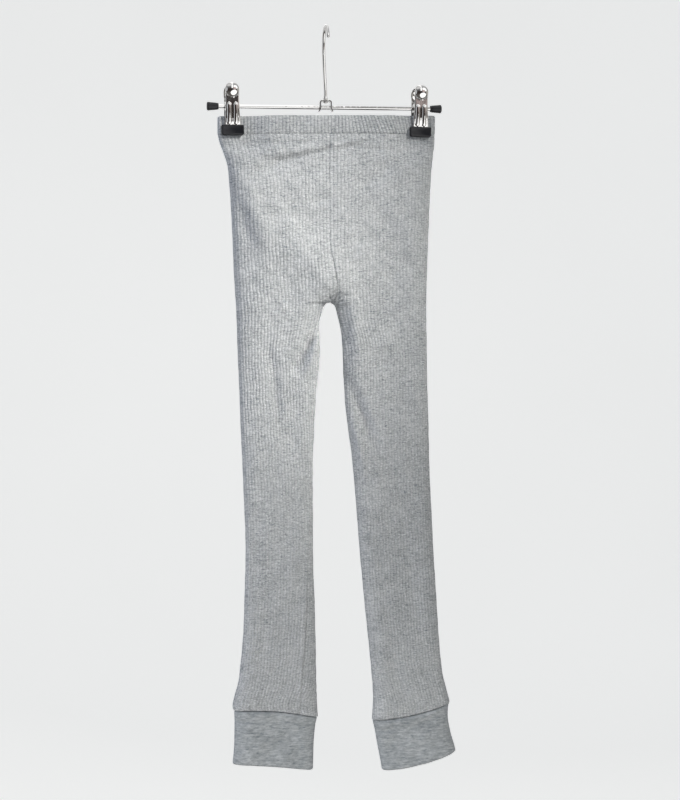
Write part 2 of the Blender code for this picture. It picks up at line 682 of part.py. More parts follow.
def cylinder_mesh(name, radius, start, end, axis):
    """A closed cylinder between two places on an axis."""
    work = bmesh.new()
    bmesh.ops.create_cone(work, cap_ends=True, segments=ROUND_SIDES, radius1=radius, radius2=radius,
                          depth=abs(end - start))
    middle = (start + end) / 2.0
    if axis == "X":
        turn = Matrix.Rotation(math.radians(90), 4, "Y")
        move = Matrix.Translation((middle, 0.0, 0.0))
    else:
        turn = Matrix.Identity(4)
        move = Matrix.Translation((0.0, 0.0, middle))
    bmesh.ops.transform(work, matrix=move @ turn, verts=work.verts)
    mesh = bpy.data.meshes.new(name)
    work.to_mesh(mesh)
    work.free()
    mesh.shade_smooth()
    mesh.set_sharp_from_angle(angle=SHARP_ANGLE)
    return mesh


def turned_mesh(name, profile):
    """A closed shape turned about X, from its outline of (x, radius) points."""
    points, faces, rings = [], [], []
    for number, (x, radius) in enumerate(profile):
        if number and (x, radius) == profile[0]:
            rings.append(rings[0])
            continue
        if radius == 0.0:
            points.append((x, 0.0, 0.0))
            rings.append([len(points) - 1] * ROUND_SIDES)
            continue
        ring = []
        for side in range(ROUND_SIDES):
            angle = 2.0 * math.pi * side / ROUND_SIDES
            points.append((x, radius * math.cos(angle), radius * math.sin(angle)))
            ring.append(len(points) - 1)
        rings.append(ring)
    for one, two in zip(rings, rings[1:]):
        faces += strip_faces(one + one[:1], two + two[:1])
    return mesh_from(name, points, faces)


def make_stirrup(frame):
    """A strip bent to an upside-down U, with holes for the wire and the bar, and splayed feet."""
    top = STIRRUP_TOP - BAR_Z
    bottom = STIRRUP_BOTTOM - BAR_Z
    outline = [(STIRRUP_FOOT_HALF_WIDTH, bottom),
               (STIRRUP_HALF_WIDTH + STIRRUP_FLARE, bottom + STIRRUP_FLARE_HEIGHT)]
    for step in range(STIRRUP_BEND_STEPS + 1):
        angle = math.radians(90.0 * step / STIRRUP_BEND_STEPS)
        outline.append((STIRRUP_HALF_WIDTH - STIRRUP_BEND * (1.0 - math.cos(angle)),
                        top - STIRRUP_BEND * (1.0 - math.sin(angle))))
    inside = [(x - STIRRUP_SHEET, z) for x, z in outline[:2]]
    bend = STIRRUP_BEND - STIRRUP_SHEET
    for step in range(STIRRUP_BEND_STEPS + 1):
        angle = math.radians(90.0 * step / STIRRUP_BEND_STEPS)
        inside.append((STIRRUP_HALF_WIDTH - STIRRUP_BEND + bend * math.cos(angle),
                       top - STIRRUP_BEND + bend * math.sin(angle)))
    outer = outline + [(-x, z) for x, z in reversed(outline)]
    inner = inside + [(-x, z) for x, z in reversed(inside)]
    points, faces = [], []
    for y in (-STIRRUP_DEPTH / 2.0, STIRRUP_DEPTH / 2.0):
        points += [(x, y, z) for x, z in outer + inner]
    count = len(outer)
    for step in range(count - 1):
        near_out, near_in = step, count + step
        far_out, far_in = 2 * count + step, 3 * count + step
        faces.append((near_out, near_out + 1, near_in + 1, near_in))
        faces.append((far_out, far_out + 1, far_in + 1, far_in))
        faces.append((near_out, near_out + 1, far_out + 1, far_out))
        faces.append((near_in, near_in + 1, far_in + 1, far_in))
    for step in (0, count - 1):
        faces.append((step, count + step, 3 * count + step, 2 * count + step))
    piece = add_object("stirrup", mesh_from("stirrup", points, faces), "chrome_steel", frame)
    wire_hole = cylinder_mesh("wire_hole", WIRE_RADIUS + HOLE_CLEARANCE,
                              top - 2.0 * STIRRUP_SHEET, top + STIRRUP_SHEET, "Z")
    cut(piece, cutter("wire_hole", wire_hole, frame))
    bar_hole = cylinder_mesh("bar_hole", BAR_RADIUS + HOLE_CLEARANCE, -CUT_REACH, CUT_REACH, "X")
    cut(piece, cutter("bar_hole", bar_hole, frame))


def make_bar(frame):
    """The rod and its two rubber end caps."""
    rod = cylinder_mesh("bar", BAR_RADIUS, -BAR_HALF_LENGTH, BAR_HALF_LENGTH, "X")
    add_object("bar", rod, "chrome_steel", frame)
    bore = BAR_RADIUS + GAP
    inside = ((BAR_HALF_LENGTH + GAP, 0.0), (BAR_HALF_LENGTH + GAP, bore), (CAP_START, bore))
    for side, sign in (("right", -1.0), ("left", 1.0)):
        outline = [(sign * x, radius) for x, radius in ((CAP_START, bore),) + CAP_PROFILE + inside]
        add_object("bar_cap_" + side, turned_mesh("bar_cap_" + side, outline), "black_rubber", frame)


def plate_outline(row, nest):
    """The section of a clip half at one height: a shallow channel, as (x, distance from the bar)."""
    lug = abs(row.z) < EAR_RADIUS
    half = row.half_width - (nest if lug else 0.0)
    reach = FLANGE
    if lug:
        reach = row.face + math.sqrt(EAR_RADIUS ** 2 - row.z ** 2)
    jaw = row.z <= TONGUE_TOP
    if jaw:
        reach = SHEET
    outside, inside = [], []
    for step in range(PLATE_STEPS + 1):
        across = 2.0 * step / PLATE_STEPS - 1.0
        flute = row.flute * max(0.0, 1.0 - ((abs(across) - FLUTE_PLACE) / FLUTE_WIDTH) ** 2)
        y = row.face + row.crown * (1.0 - across * across) + flute
        outside.append((across * half, y))
        inside.append((across * (half - (0.0 if jaw else SHEET)), y - SHEET))
    ends = [] if jaw else [(half, row.face - reach), (half - SHEET, row.face - reach)]
    if jaw:
        ends = [(half + EDGE, row.face - SHEET / 3.0), (half + EDGE, row.face - SHEET * 2.0 / 3.0)]
    mirrored = [(-x, y) for x, y in reversed(ends)]
    return outside + ends + list(reversed(inside)) + mirrored


def plate_mesh(name, sign, nest):
    """One pressed half of a clip. The front half faces -Y, so its sign is -1."""
    points, faces, rows = [], [], []
    for row in PLATE:
        numbers = []
        for x, y in plate_outline(row, nest):
            points.append((x, sign * y, row.z))
            numbers.append(len(points) - 1)
        rows.append(numbers)
    for upper, lower in zip(rows, rows[1:]):
        faces += strip_faces(upper + upper[:1], lower + lower[:1])
    for end in (rows[0], rows[-1]):
        half = PLATE_STEPS + 1
        outside, turned = end[:half], end[half:half + 2]
        inside, turned_back = list(reversed(end[half + 2:2 * half + 2])), end[2 * half + 2:]
        faces += strip_faces(outside, inside)
        faces.append((outside[-1], turned[0], turned[1], inside[-1]))
        faces.append((inside[0], turned_back[0], turned_back[1], outside[0]))
    return mesh_from(name, points, faces)


def pad_mesh(name, sign):
    """A rubber jaw pad: a block with round lower corners."""
    outline = []
    corners = ((1, -1, JAW_CORNER), (1, 1, JAW_TOP_CORNER), (-1, 1, JAW_TOP_CORNER), (-1, -1, JAW_CORNER))
    for right, up, radius in corners:
        x = right * (JAW_HALF_WIDTH - radius)
        z = (JAW_TOP if up > 0 else JAW_BOTTOM) - up * radius
        middle = math.atan2(up, right)
        steps = JAW_CORNER_STEPS if up < 0 else 1
        for step in range(steps + 1):
            angle = middle + math.radians(90.0) * (step / steps - 0.5)
            outline.append((x + radius * math.cos(angle), z + radius * math.sin(angle)))
    points = [(x, sign * y, z) for y in (JAW_INNER, JAW_OUTER) for x, z in outline]
    count = len(outline)
    faces = [list(range(count)), list(range(count, 2 * count))]
    for step in range(count):
        after = (step + 1) % count
        faces.append((step, after, count + after, count + step))
    return mesh_from(name, points, faces)


def box_mesh(name, low, high):
    """A closed box between two corners."""
    work = bmesh.new()
    bmesh.ops.create_cube(work, size=1.0)
    size = [b - a for a, b in zip(low, high)]
    middle = [(a + b) / 2.0 for a, b in zip(low, high)]
    matrix = Matrix.Translation(middle) @ Matrix.Diagonal((*size, 1.0))
    bmesh.ops.transform(work, matrix=matrix, verts=work.verts)
    mesh = bpy.data.meshes.new(name)
    work.to_mesh(mesh)
    work.free()
    return mesh


def make_clip(side, bar_frame):
    """Both halves of a clip on the bar, their spring, and the rubber pads on their jaws."""
    frame = bpy.data.objects.new("clip_axis_" + side, None)
    bpy.context.collection.objects.link(frame)
    frame.parent = bar_frame
    frame.location = (CLIP_X[side], 0.0, 0.0)
    frame.rotation_euler = (0.0, CLIP_LEAN[side], 0.0)
    name = "clip_" + side
    hole = cylinder_mesh(name + "_hole", EAR_HOLE_RADIUS, -CUT_REACH, CUT_REACH, "X")
    hole_tool = cutter(name + "_hole", hole, frame)
    tongue = PLATE[-1]
    reach = tongue.half_width + EDGE + GAP
    for face, sign, nest in (("front", -1.0, 0.0), ("back", 1.0, EAR_NEST)):
        plate = add_object(name + "_" + face, plate_mesh(name + "_" + face, sign, nest),
                           "chrome_steel", frame)
        cut(plate, hole_tool)
        pad_name = name + "_pad_" + face
        pad = add_object(pad_name, pad_mesh(pad_name, sign), "black_rubber", frame)
        near, far = tongue.face - SHEET - GAP, tongue.face + GAP
        pocket = box_mesh(pad_name + "_pocket",
                          (-reach, min(sign * near, sign * far), tongue.z - GAP),
                          (reach, max(sign * near, sign * far), JAW_TOP + SHEET))
        cut(pad, cutter(pad_name + "_pocket", pocket, frame))
    inner, outer, half = BAR_RADIUS + SPRING_PLAY, SPRING_RADIUS, SPRING_HALF_LENGTH
    coil = [(-half, inner), (-half, outer), (half, outer), (half, inner), (-half, inner)]
    add_object(name + "_spring", turned_mesh(name + "_spring", coil), "spring_steel", frame)


def make_cloth():
    """The five pieces of the leggings."""
    add_object("waistband", band_mesh(), "rib_knit")
    for side in ("right", "left"):
        add_object("leg_" + side, leg_mesh(side), "rib_knit")
        add_object("cuff_" + side, cuff_mesh(side), "plain_jersey")


def make_hanger():
    """The hook, and everything that rides on the bar."""
    make_hook()
    bar_frame = bpy.data.objects.new("bar_axis", None)
    bpy.context.collection.objects.link(bar_frame)
    bar_frame.location = (0.0, 0.0, BAR_Z)
    bar_frame.rotation_euler = (0.0, BAR_TILT, 0.0)
    make_stirrup(bar_frame)
    make_bar(bar_frame)
    for side in ("right", "left"):
        make_clip(side, bar_frame)


def main():
    for old in list(bpy.data.objects):
        bpy.data.objects.remove(old)
    make_cloth()
    make_hanger()


main()
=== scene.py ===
"""Ribbed leggings for a small child on a chromed clip hanger.

Metres, +Z up. The front of the leggings faces -Y and the wearer's right leg is at -X.
The origin is the inside of the hook, at the top, where it rests on a rail or a peg.
"""
import math
from collections import namedtuple

import bmesh
import bpy
import numpy as np
from bpy.props import FloatProperty, FloatVectorProperty, IntProperty, PointerProperty
from bpy.types import Operator, Panel, PropertyGroup
from mathutils import Matrix, Vector


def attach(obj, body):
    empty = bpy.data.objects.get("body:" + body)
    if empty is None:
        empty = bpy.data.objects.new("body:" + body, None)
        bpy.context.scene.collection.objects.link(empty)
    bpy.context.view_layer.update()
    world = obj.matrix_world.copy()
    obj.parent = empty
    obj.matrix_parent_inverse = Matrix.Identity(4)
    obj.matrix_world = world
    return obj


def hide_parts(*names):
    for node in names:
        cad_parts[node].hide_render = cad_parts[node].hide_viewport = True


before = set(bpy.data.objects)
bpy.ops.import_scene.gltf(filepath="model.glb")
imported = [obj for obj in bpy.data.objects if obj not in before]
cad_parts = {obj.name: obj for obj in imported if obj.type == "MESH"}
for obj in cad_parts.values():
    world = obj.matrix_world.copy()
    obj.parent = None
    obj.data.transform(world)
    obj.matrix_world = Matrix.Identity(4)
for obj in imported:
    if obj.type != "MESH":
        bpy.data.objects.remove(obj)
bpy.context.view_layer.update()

bl_info = {
    "name": "Leggings on a clip hanger",
    "version": (1, 0, 0),
    "blender": (4, 5, 0),
    "location": "3D Viewport > Sidebar > Leggings",
    "description": "Ribbed leggings that hang from a chromed hanger with two clips",
    "category": "Object",
}

# ---------------------------------------------------------------- sizes of the cloth
GAP = 0.0003               # between neighbouring pieces
SEAM_GAP = 0.00004         # between the panels' edges along the rise seam
WAIST_GAP = 0.00014        # between the panels and the waistband
CUFF_GAP = 0.00012         # between the panels and the cuffs
LEG_WALL = 0.0014          # rib knit, without the ribs
BAND_WALL = 0.0026         # two layers of rib knit with the elastic between them
CUFF_WALL = 0.0024         # two layers of plain jersey
HIP_RIB_SHARE = 0.72       # the ribs are stretched flatter over the hips
RIB_CLOSES_FROM = -0.2550  # height where the ribs start to close up
RIB_CLOSES_TO = -0.3050
ROUND_RATIO = 1.8          # length of a fold's rounding for each unit of half depth
HELD_DEPTH = 0.00275       # half depth of the cloth between the pads
HELD_MIDDLE = 0.0021       # X half way between the clips
HELD_FROM = 0.0510         # distance from there where the squeeze begins
HELD_FULL = 0.0776         # and where it is complete
FINE = 240                 # steps of the line that the ribs are spaced along
COLUMNS = 6                # columns of points for each rib
STITCH_DROP = 0.0070       # the cover stitches lie this far below the waist seam
STITCH_REACH = 0.36        # half the length of a cover stitch, in ribs
STITCH_LIFT = (0.55, 0.75)      # its ends' height over the cloth and what its middle adds, in rib heights
STITCH_SINK = 0.0001
THREAD_RADIUS = 0.00026
WALE_WIDTH = 0.0013        # one chain of stitches of the plain jersey
CUFF_ROW = 0.0011          # height of one row of mesh on the cuffs
CUFF_COLUMNS = 140         # columns on each face of a cuff
FOLD_AT_SIDES = 0.6        # a fold keeps this share of its depth on the side folds
DEEPEST_FOLD = 0.7         # no fold goes deeper than this share of the half depth
ROW_SLANT = 0.02           # the ends of a row differ in height by less than this

# Rows down a leg: finer between these places by this share, and finer still close to both seams.
FINE_ROWS = ((0.0985, 0.1340, 0.40), (0.2380, 0.2720, 0.32))
SEAM_ROW_SHARE = 0.25
SEAM_ROW_REACH = 0.008
LAST_ROW_SHARE = 1.4       # the last row may be this much higher than the one before

# Dents along the seams: depth and half width, or the length over which they fade from an edge.
WAIST_DENT = (0.00022, 0.0006)
CUFF_DENT = (0.0003, 0.0009)
COVER_DENT = (0.00060, 0.0008)
RISE_DENT = (0.00010, 0.0006)
INSEAM_DENT = (0.0010, 0.0008)
INSEAM_WELT = (0.0005, 0.0013)  # the seam allowance that shows through beside the inseam
INSEAM_WELT_AWAY = 0.0020
INSEAM_FADE = (0.02, 0.03)      # the inseam starts this far above its path and is full this far below that

# How uneven the ribs are: a share of the height or the pitch, radians for each rib or metre along the row,
# radians for each metre down, and a phase.
RIB_SWELLS = ((0.9, 61.0), (0.37, -23.0))
RIB_SWELL_SHARE = 0.34
RIB_RIPPLE = (0.16, 2.3, 310.0)
RIB_WANDER = ((0.10, 90.0, 190.0, 0.0), (0.07, -260.0, 430.0, 1.0))
RIB_WANDER_REACH = 5.0     # ribs from a fold or a seam over which the wandering grows
RIB_FULLNESS = 2.4         # 2 makes a rib round in section, more makes it fuller
RIB_END = 0.25             # a rib runs out into the seam over this share of its width

# A section runs from the side fold to the rise seam, or below the crotch to the leg's inner fold.
# `laid` says how far the ribs run straight down past the inner fold's rounding, from 0 to 1.
Section = namedtuple("Section", "side_x side_z inner_x inner_z front back seam held bow laid")

# right side x and z, left side x and z, rise seam x and z, half depth in front and behind, held
TORSO = (
    (-0.0996, -0.1025, 0.1034, -0.0964, 0.0027, -0.0993, 0.0078, 0.0078, 1.00),
    (-0.0985, -0.1075, 0.1032, -0.1035, 0.0026, -0.1055, 0.0089, 0.0092, 0.98),
    (-0.0904, -0.1328, 0.1004, -0.1300, 0.0021, -0.1310, 0.0120, 0.0130, 0.00),
    (-0.0861, -0.2000, 0.0971, -0.1990, 0.0019, -0.1995, 0.0134, 0.0153, 0.00),
    (-0.0846, -0.2325, 0.0958, -0.2320, 0.0074, -0.2327, 0.0130, 0.0150, 0.00),
    (-0.0835, -0.2500, 0.0955, -0.2510, 0.0084, -0.2490, 0.0124, 0.0140, 0.00),
    (-0.0831, -0.2565, 0.0955, -0.2570, 0.0052, -0.2547, 0.0120, 0.0135, 0.00),
)
ARCH_HEIGHT = 0.0220       # the two layers draw together over this height above the crotch
LAID_LENGTH = 0.0700       # below the crotch the ribs come to follow the inner fold over this length
# the ribs are spaced to this line, and the rise seam cuts them where it strays from it: z against x
RIB_SEAM = ((-0.0993, 0.0027), (-0.1310, 0.0021), (-0.1995, 0.0019), (-0.2547, 0.0046))

# side x and z, inner x and z, half depth in front and behind, bow of the row
LEGS = {
    "right": (
        (-0.0828, -0.2620, 0.0009, -0.2556, 0.0118, 0.0130, 0.0),
        (-0.0824, -0.2700, -0.0036, -0.2645, 0.0113, 0.0122, 0.0),
        (-0.0819, -0.2820, -0.0064, -0.2787, 0.0106, 0.0112, 0.0),
        (-0.0812, -0.3030, -0.0057, -0.3000, 0.0098, 0.0104, 0.0),
        (-0.0796, -0.3440, -0.0098, -0.3440, 0.0088, 0.0094, 0.0),
        (-0.0766, -0.4100, -0.0125, -0.4120, 0.0080, 0.0085, 0.0),
        (-0.0741, -0.4800, -0.0123, -0.4780, 0.0076, 0.0080, 0.0),
        (-0.0755, -0.5480, -0.0103, -0.5500, 0.0076, 0.0080, 0.0),
        (-0.0800, -0.6020, -0.0091, -0.6060, 0.0080, 0.0084, 0.0),
        (-0.0861, -0.6267, -0.0084, -0.6305, 0.0088, 0.0092, 0.0020),
        (-0.0850, -0.6306, -0.0079, -0.6390, 0.0080, 0.0084, 0.0030),
    ),
    "left": (
        (0.0955, -0.2630, 0.0089, -0.2577, 0.0118, 0.0130, 0.0),
        (0.0955, -0.2710, 0.0112, -0.2660, 0.0113, 0.0122, 0.0),
        (0.0956, -0.2840, 0.0148, -0.2810, 0.0106, 0.0112, 0.0),
        (0.0959, -0.3050, 0.0164, -0.3010, 0.0098, 0.0104, 0.0),
        (0.0968, -0.3460, 0.0189, -0.3460, 0.0088, 0.0094, 0.0),
        (0.0983, -0.4110, 0.0267, -0.4110, 0.0080, 0.0085, 0.0),
        (0.1015, -0.4740, 0.0319, -0.4740, 0.0076, 0.0080, 0.0),
        (0.1054, -0.5400, 0.0380, -0.5400, 0.0076, 0.0080, 0.0),
        (0.1100, -0.5980, 0.0439, -0.5980, 0.0080, 0.0084, 0.0),
        (0.1167, -0.6248, 0.0456, -0.6290, 0.0088, 0.0092, -0.0014),
        (0.1179, -0.6294, 0.0445, -0.6436, 0.0080, 0.0084, -0.0028),
    ),
}
CUFFS = {
    "right": (
        (-0.0849, -0.6342, -0.0086, -0.6418, 0.0092, 0.0096, 0.0030),
        (-0.0847, -0.6400, -0.0096, -0.6465, 0.0080, 0.0084, 0.0024),
        (-0.0849, -0.6580, -0.0112, -0.6640, 0.0084, 0.0090, 0.0015),
        (-0.0864, -0.6785, -0.0118, -0.6862, 0.0090, 0.0095, 0.0013),
        (-0.0868, -0.6800, -0.0119, -0.6880, 0.0083, 0.0088, 0.0012),
    ),
    "left": (
        (0.1168, -0.6335, 0.0451, -0.6470, 0.0092, 0.0096, -0.0028),
        (0.1164, -0.6410, 0.0462, -0.6515, 0.0080, 0.0084, -0.0028),
        (0.1190, -0.6575, 0.0490, -0.6670, 0.0084, 0.0090, -0.0026),
        (0.1238, -0.6745, 0.0532, -0.6893, 0.0090, 0.0095, -0.0030),
        (0.1240, -0.6760, 0.0534, -0.6910, 0.0083, 0.0088, -0.0030),
    ),
}

# The waistband, a ring from fold to fold. Depths go with the share of its height below the top edge.
BAND_LEFT_END = 0.1036
BAND_RIGHT_END = -0.0998
BAND_TOP_Z = -0.0819
BAND_TOP_SLOPE = 0.0335
BAND_BOTTOM_Z = -0.0992
BAND_BOTTOM_SLOPE = 0.0300
BAND_DEPTHS = ((0.0, 0.0071), (0.07, 0.0074), (0.5, 0.0077), (0.95, 0.0078), (1.0, 0.0076))
BAND_RIB_LEAN = 0.0068     # the ribs lean by this much over the band's height, where it was sewn askew
BAND_LEAN_MIDDLE = 0.0560
BAND_LEAN_REACH = 0.0480
BAND_HEM = (0.0010, 0.0003)     # height of the rounding at the waist seam, and how far it turns in
BAND_INNER_HEM = 0.0005    # how far the wall narrows inside, at the waist seam
BAND_RIB_SHARE = 0.85      # mean height of the band's ribs, as a share of the rib height
BAND_RIB_SWELL = (0.30, 1.3, 0.41)
BAND_RIB_PROUD = 0.45      # the leaning ribs stand this much prouder
# the band's place on the map gives it the darkest painted shade in the grooves between its ribs
BAND_MAP = (0.30, 0.018)   # where the band starts on the knit's map, and its height there

# Folds and creases of each face: x, z, length, width, depth (inwards), and degrees from upright, clockwise.
FOLDS = {
    "front": (
        (-0.0155, -0.2960, 0.064, 0.0062, 0.0012, 28),
        (0.0265, -0.3100, 0.120, 0.0075, -0.0012, 3),
        (-0.0745, -0.2050, 0.120, 0.0080, 0.0014, -2),
        (-0.0620, -0.1900, 0.130, 0.0110, -0.0010, -4),
        (0.0060, -0.2150, 0.090, 0.0240, -0.0025, 0),
        (0.0620, -0.2400, 0.100, 0.0130, 0.0016, 14),
        (-0.0440, -0.4600, 0.140, 0.0100, 0.0014, 5),
        (0.0800, -0.5200, 0.150, 0.0100, 0.0015, -7),
    ),
    "back": (
        (-0.0400, -0.2300, 0.110, 0.0110, 0.0022, 30),
        (0.0480, -0.2350, 0.110, 0.0110, 0.0022, -30),
        (-0.0350, -0.4300, 0.160, 0.0100, 0.0016, -6),
        (0.0650, -0.4500, 0.160, 0.0100, 0.0016, 6),
    ),
}
CREASES = {
    "front": (
        # pulls from the right clip, down and across the hip
        (-0.0785, -0.1790, 0.090, 0.0066, 0.0024, -21),
        (-0.0650, -0.1850, 0.120, 0.0110, -0.0016, -26),
        (-0.0650, -0.2180, 0.060, 0.0080, 0.0010, -26),
        (-0.0190, -0.2170, 0.150, 0.0165, -0.0042, -42),
        (-0.0080, -0.1840, 0.100, 0.0130, 0.0014, -46),
        (-0.0860, -0.2900, 0.300, 0.0280, 0.0040, -2),
        # puckers under the waistband
        (-0.0350, -0.1300, 0.200, 0.0130, 0.0024, 84),
        (-0.0500, -0.1250, 0.060, 0.0044, 0.0010, 92),
        (-0.0255, -0.1160, 0.070, 0.0034, -0.0014, 77),
        (-0.0240, -0.1205, 0.070, 0.0032, 0.0020, 77),
        (-0.0040, -0.1150, 0.026, 0.0018, 0.0012, 66),
        (-0.0500, -0.1300, 0.060, 0.0070, 0.0018, 70),
        (0.0210, -0.1065, 0.050, 0.0026, -0.0012, 74),
        (0.0220, -0.1105, 0.050, 0.0026, 0.0014, 74),
        (0.0010, -0.1140, 0.014, 0.0018, 0.0020, 34),
        (0.0480, -0.1125, 0.090, 0.0028, 0.0014, 92),
        (-0.0560, -0.1105, 0.080, 0.0028, 0.0012, 88),
        # the front between the hips
        (-0.0040, -0.1610, 0.034, 0.0040, 0.0020, 78),
        (0.0430, -0.1390, 0.080, 0.0080, 0.0022, 52),
        (0.0520, -0.1800, 0.070, 0.0110, 0.0014, -48),
        (0.0660, -0.2120, 0.070, 0.0080, 0.0012, -56),
        (0.0780, -0.1500, 0.080, 0.0100, 0.0012, 12),
        (0.0240, -0.2020, 0.060, 0.0090, 0.0012, 36),
        # what radiates from the crotch
        (0.0060, -0.2270, 0.050, 0.0010, 0.0011, -13),
        (0.0026, -0.2522, 0.009, 0.0009, 0.0022, -24),
        (0.0062, -0.2518, 0.007, 0.0009, 0.0018, 10),
        (0.0100, -0.2528, 0.010, 0.0010, 0.0024, 44),
        (0.0128, -0.2550, 0.009, 0.0010, 0.0022, 74),
        (0.0060, -0.2400, 0.050, 0.0100, -0.0016, 10),
        (-0.0180, -0.2560, 0.060, 0.0080, -0.0016, 40),
        (0.0240, -0.2580, 0.060, 0.0070, -0.0014, -30),
        # the wearer's right leg
        (-0.0170, -0.2920, 0.086, 0.0040, 0.0052, 28),
        (-0.0095, -0.2960, 0.066, 0.0040, -0.0066, 20),
        (-0.0240, -0.3120, 0.060, 0.0050, 0.0014, 12),
        (-0.0560, -0.2900, 0.090, 0.0100, 0.0012, 8),
        (-0.0480, -0.3350, 0.110, 0.0046, 0.0026, -7),
        (-0.0330, -0.3700, 0.090, 0.0080, 0.0014, 6),
        (-0.0680, -0.4750, 0.140, 0.0120, 0.0036, 1),
        (-0.0400, -0.4300, 0.110, 0.0100, -0.0014, 8),
        (-0.0600, -0.5600, 0.110, 0.0090, 0.0012, 4),
        (-0.0340, -0.5150, 0.070, 0.0070, -0.0010, 12),
        (-0.0260, -0.5700, 0.090, 0.0070, -0.0008, 2),
        (-0.0700, -0.6290, 0.018, 0.0022, 0.0010, 10),
        (-0.0480, -0.6300, 0.016, 0.0020, 0.0008, -14),
        (-0.0260, -0.6330, 0.018, 0.0022, 0.0010, 20),
        # the wearer's left leg
        (0.0185, -0.2860, 0.070, 0.0036, 0.0016, -8),
        (0.0318, -0.3560, 0.100, 0.0054, 0.0064, -21),
        (0.0290, -0.3860, 0.090, 0.0034, -0.0034, -13),
        (0.0260, -0.2830, 0.060, 0.0046, -0.0016, -10),
        (0.0480, -0.3030, 0.036, 0.0026, 0.0011, 82),
        (0.0560, -0.3120, 0.040, 0.0026, 0.0012, 86),
        (0.0500, -0.2950, 0.030, 0.0024, -0.0008, 78),
        (0.0760, -0.3000, 0.090, 0.0120, 0.0014, -5),
        (0.0480, -0.4300, 0.090, 0.0080, -0.0012, -8),
        (0.0860, -0.4000, 0.110, 0.0080, 0.0012, -4),
        (0.0650, -0.5950, 0.090, 0.0080, 0.0012, -9),
        (0.0990, -0.5900, 0.070, 0.0080, 0.0012, -10),
        (0.0620, -0.6350, 0.018, 0.0022, 0.0010, -20),
        (0.0840, -0.6320, 0.018, 0.0022, 0.0009, 12),
        (0.1040, -0.6260, 0.018, 0.0022, 0.0010, -16),
        # the cuffs
        (-0.0800, -0.6405, 0.022, 0.0014, 0.0016, 96),
        (-0.0215, -0.6440, 0.026, 0.0016, 0.0018, 104),
        (-0.0450, -0.6600, 0.060, 0.0080, 0.0016, 52),
        (-0.0650, -0.6560, 0.050, 0.0060, -0.0012, -40),
        (-0.0260, -0.6700, 0.050, 0.0080, 0.0016, -14),
        (0.0560, -0.6530, 0.030, 0.0020, 0.0022, 80),
        (0.0620, -0.6700, 0.050, 0.0100, 0.0026, -20),
        (0.0960, -0.6440, 0.040, 0.0018, 0.0014, 66),
        (0.0950, -0.6600, 0.060, 0.0080, -0.0014, -30),
    ),
    "back": (
        (0.0000, -0.1200, 0.050, 0.0060, 0.0016, 80),
        (-0.0600, -0.1600, 0.080, 0.0100, 0.0018, 18),
        (0.0650, -0.1650, 0.080, 0.0100, 0.0018, -18),
        (-0.0150, -0.2200, 0.060, 0.0060, 0.0016, 36),
        (0.0230, -0.2240, 0.060, 0.0060, 0.0016, -36),
        (-0.0020, -0.2500, 0.018, 0.0012, 0.0024, -40),
        (0.0120, -0.2500, 0.018, 0.0012, 0.0024, 36),
        (-0.0700, -0.3000, 0.090, 0.0090, 0.0015, 6),
        (0.0800, -0.3100, 0.090, 0.0090, 0.0015, -6),
        (-0.0250, -0.3200, 0.060, 0.0060, 0.0014, 12),
        (0.0380, -0.3300, 0.060, 0.0060, 0.0014, -12),
        (-0.0600, -0.5400, 0.120, 0.0090, 0.0013, -3),
        (0.0850, -0.5600, 0.120, 0.0090, 0.0013, 8),
    ),
}

# Small unevenness of the hanging cloth, as waves: depth, waves for each metre of x and of z, and phase.
WAVES = (
    (0.00022, 38.0, 22.0, 0.4), (0.00020, -27.0, 41.0, 1.9), (0.00013, 70.0, 58.0, 4.0),
    (0.00011, -92.0, 67.0, 2.6), (0.00007, 24.0, 150.0, 0.9),
)

# Where the inseam has rolled off the leg's inner fold: x against z, on one face.
INSEAM = {
    ("right", "front"): ((-0.400, -0.0118), (-0.466, -0.0153), (-0.5685, -0.0200), (-0.615, -0.0237),
                         (-0.640, -0.0255)),
    ("left", "back"): ((-0.330, 0.0180), (-0.410, 0.0300), (-0.474, 0.0366), (-0.540, 0.0440),
                       (-0.640, 0.0560)),
}

MIDDLE = (0.01, 0.0, -0.33)    # of the leggings

# ---------------------------------------------------------------- fineness of the round shapes
MERGE_DISTANCE = 0.000002
THREAD_SIDES = 6
COIL_SIDES = 10
COIL_STEPS = 24            # for each turn
WIRE_SIDES = 24
EAR_SIDES = 32
TURNED_SIDES = 48
SWEEP_SIDES = 96
BAND_ROLL_STEPS = 8        # round the band's top edge
STIRRUP_BEND_STEPS = 8
SWEEP_BEND_STEPS = 12
HOOK_BEND_STEPS = 48
HOOK_RINGS = 120

# ---------------------------------------------------------------- sizes of the hanger
BAR_Z = -0.0739
BAR_TILT = math.radians(-1.1)
BAR_RADIUS = 0.0018
BAR_HALF_LENGTH = 0.1060
BAR_EDGE = 0.0003
CAP_START = 0.0995
CAP_CLEARANCE = (0.0001, 0.0002)    # round the bar, and before its end
# the cap's outside, from its collar to its rounded end: distance from the cap's start, and radius
CAP_OUTSIDE = (
    (0.0, 0.0026), (0.0002, 0.0029), (0.0006, 0.0030), (0.0010, 0.0029), (0.0012, 0.0031), (0.0016, 0.0032),
    (0.004815, 0.0035), (0.00749, 0.0037), (0.0087, 0.0039), (0.0095, 0.0040), (0.0101, 0.0038),
    (0.0105, 0.0034), (0.0107, 0.0028), (0.0107, 0.0012), (0.0105, 0.0),
)
CLIP_X = {"right": -0.0873, "left": 0.0893}
CLIP_LEAN = {"right": math.radians(-0.4), "left": math.radians(1.6)}
SHEET = 0.0009
WIRE_RADIUS = 0.0015
HOOK_INNER_RADIUS = 0.0152
STIRRUP_TOP = -0.0674
STIRRUP_SHEET = 0.0012
STIRRUP_DEPTH = 0.0064
STIRRUP_HALF_WIDTH = 0.0057
STIRRUP_FOOT_HALF_WIDTH = 0.0071
STIRRUP_BOTTOM = -0.0777
STIRRUP_BEND = 0.0021
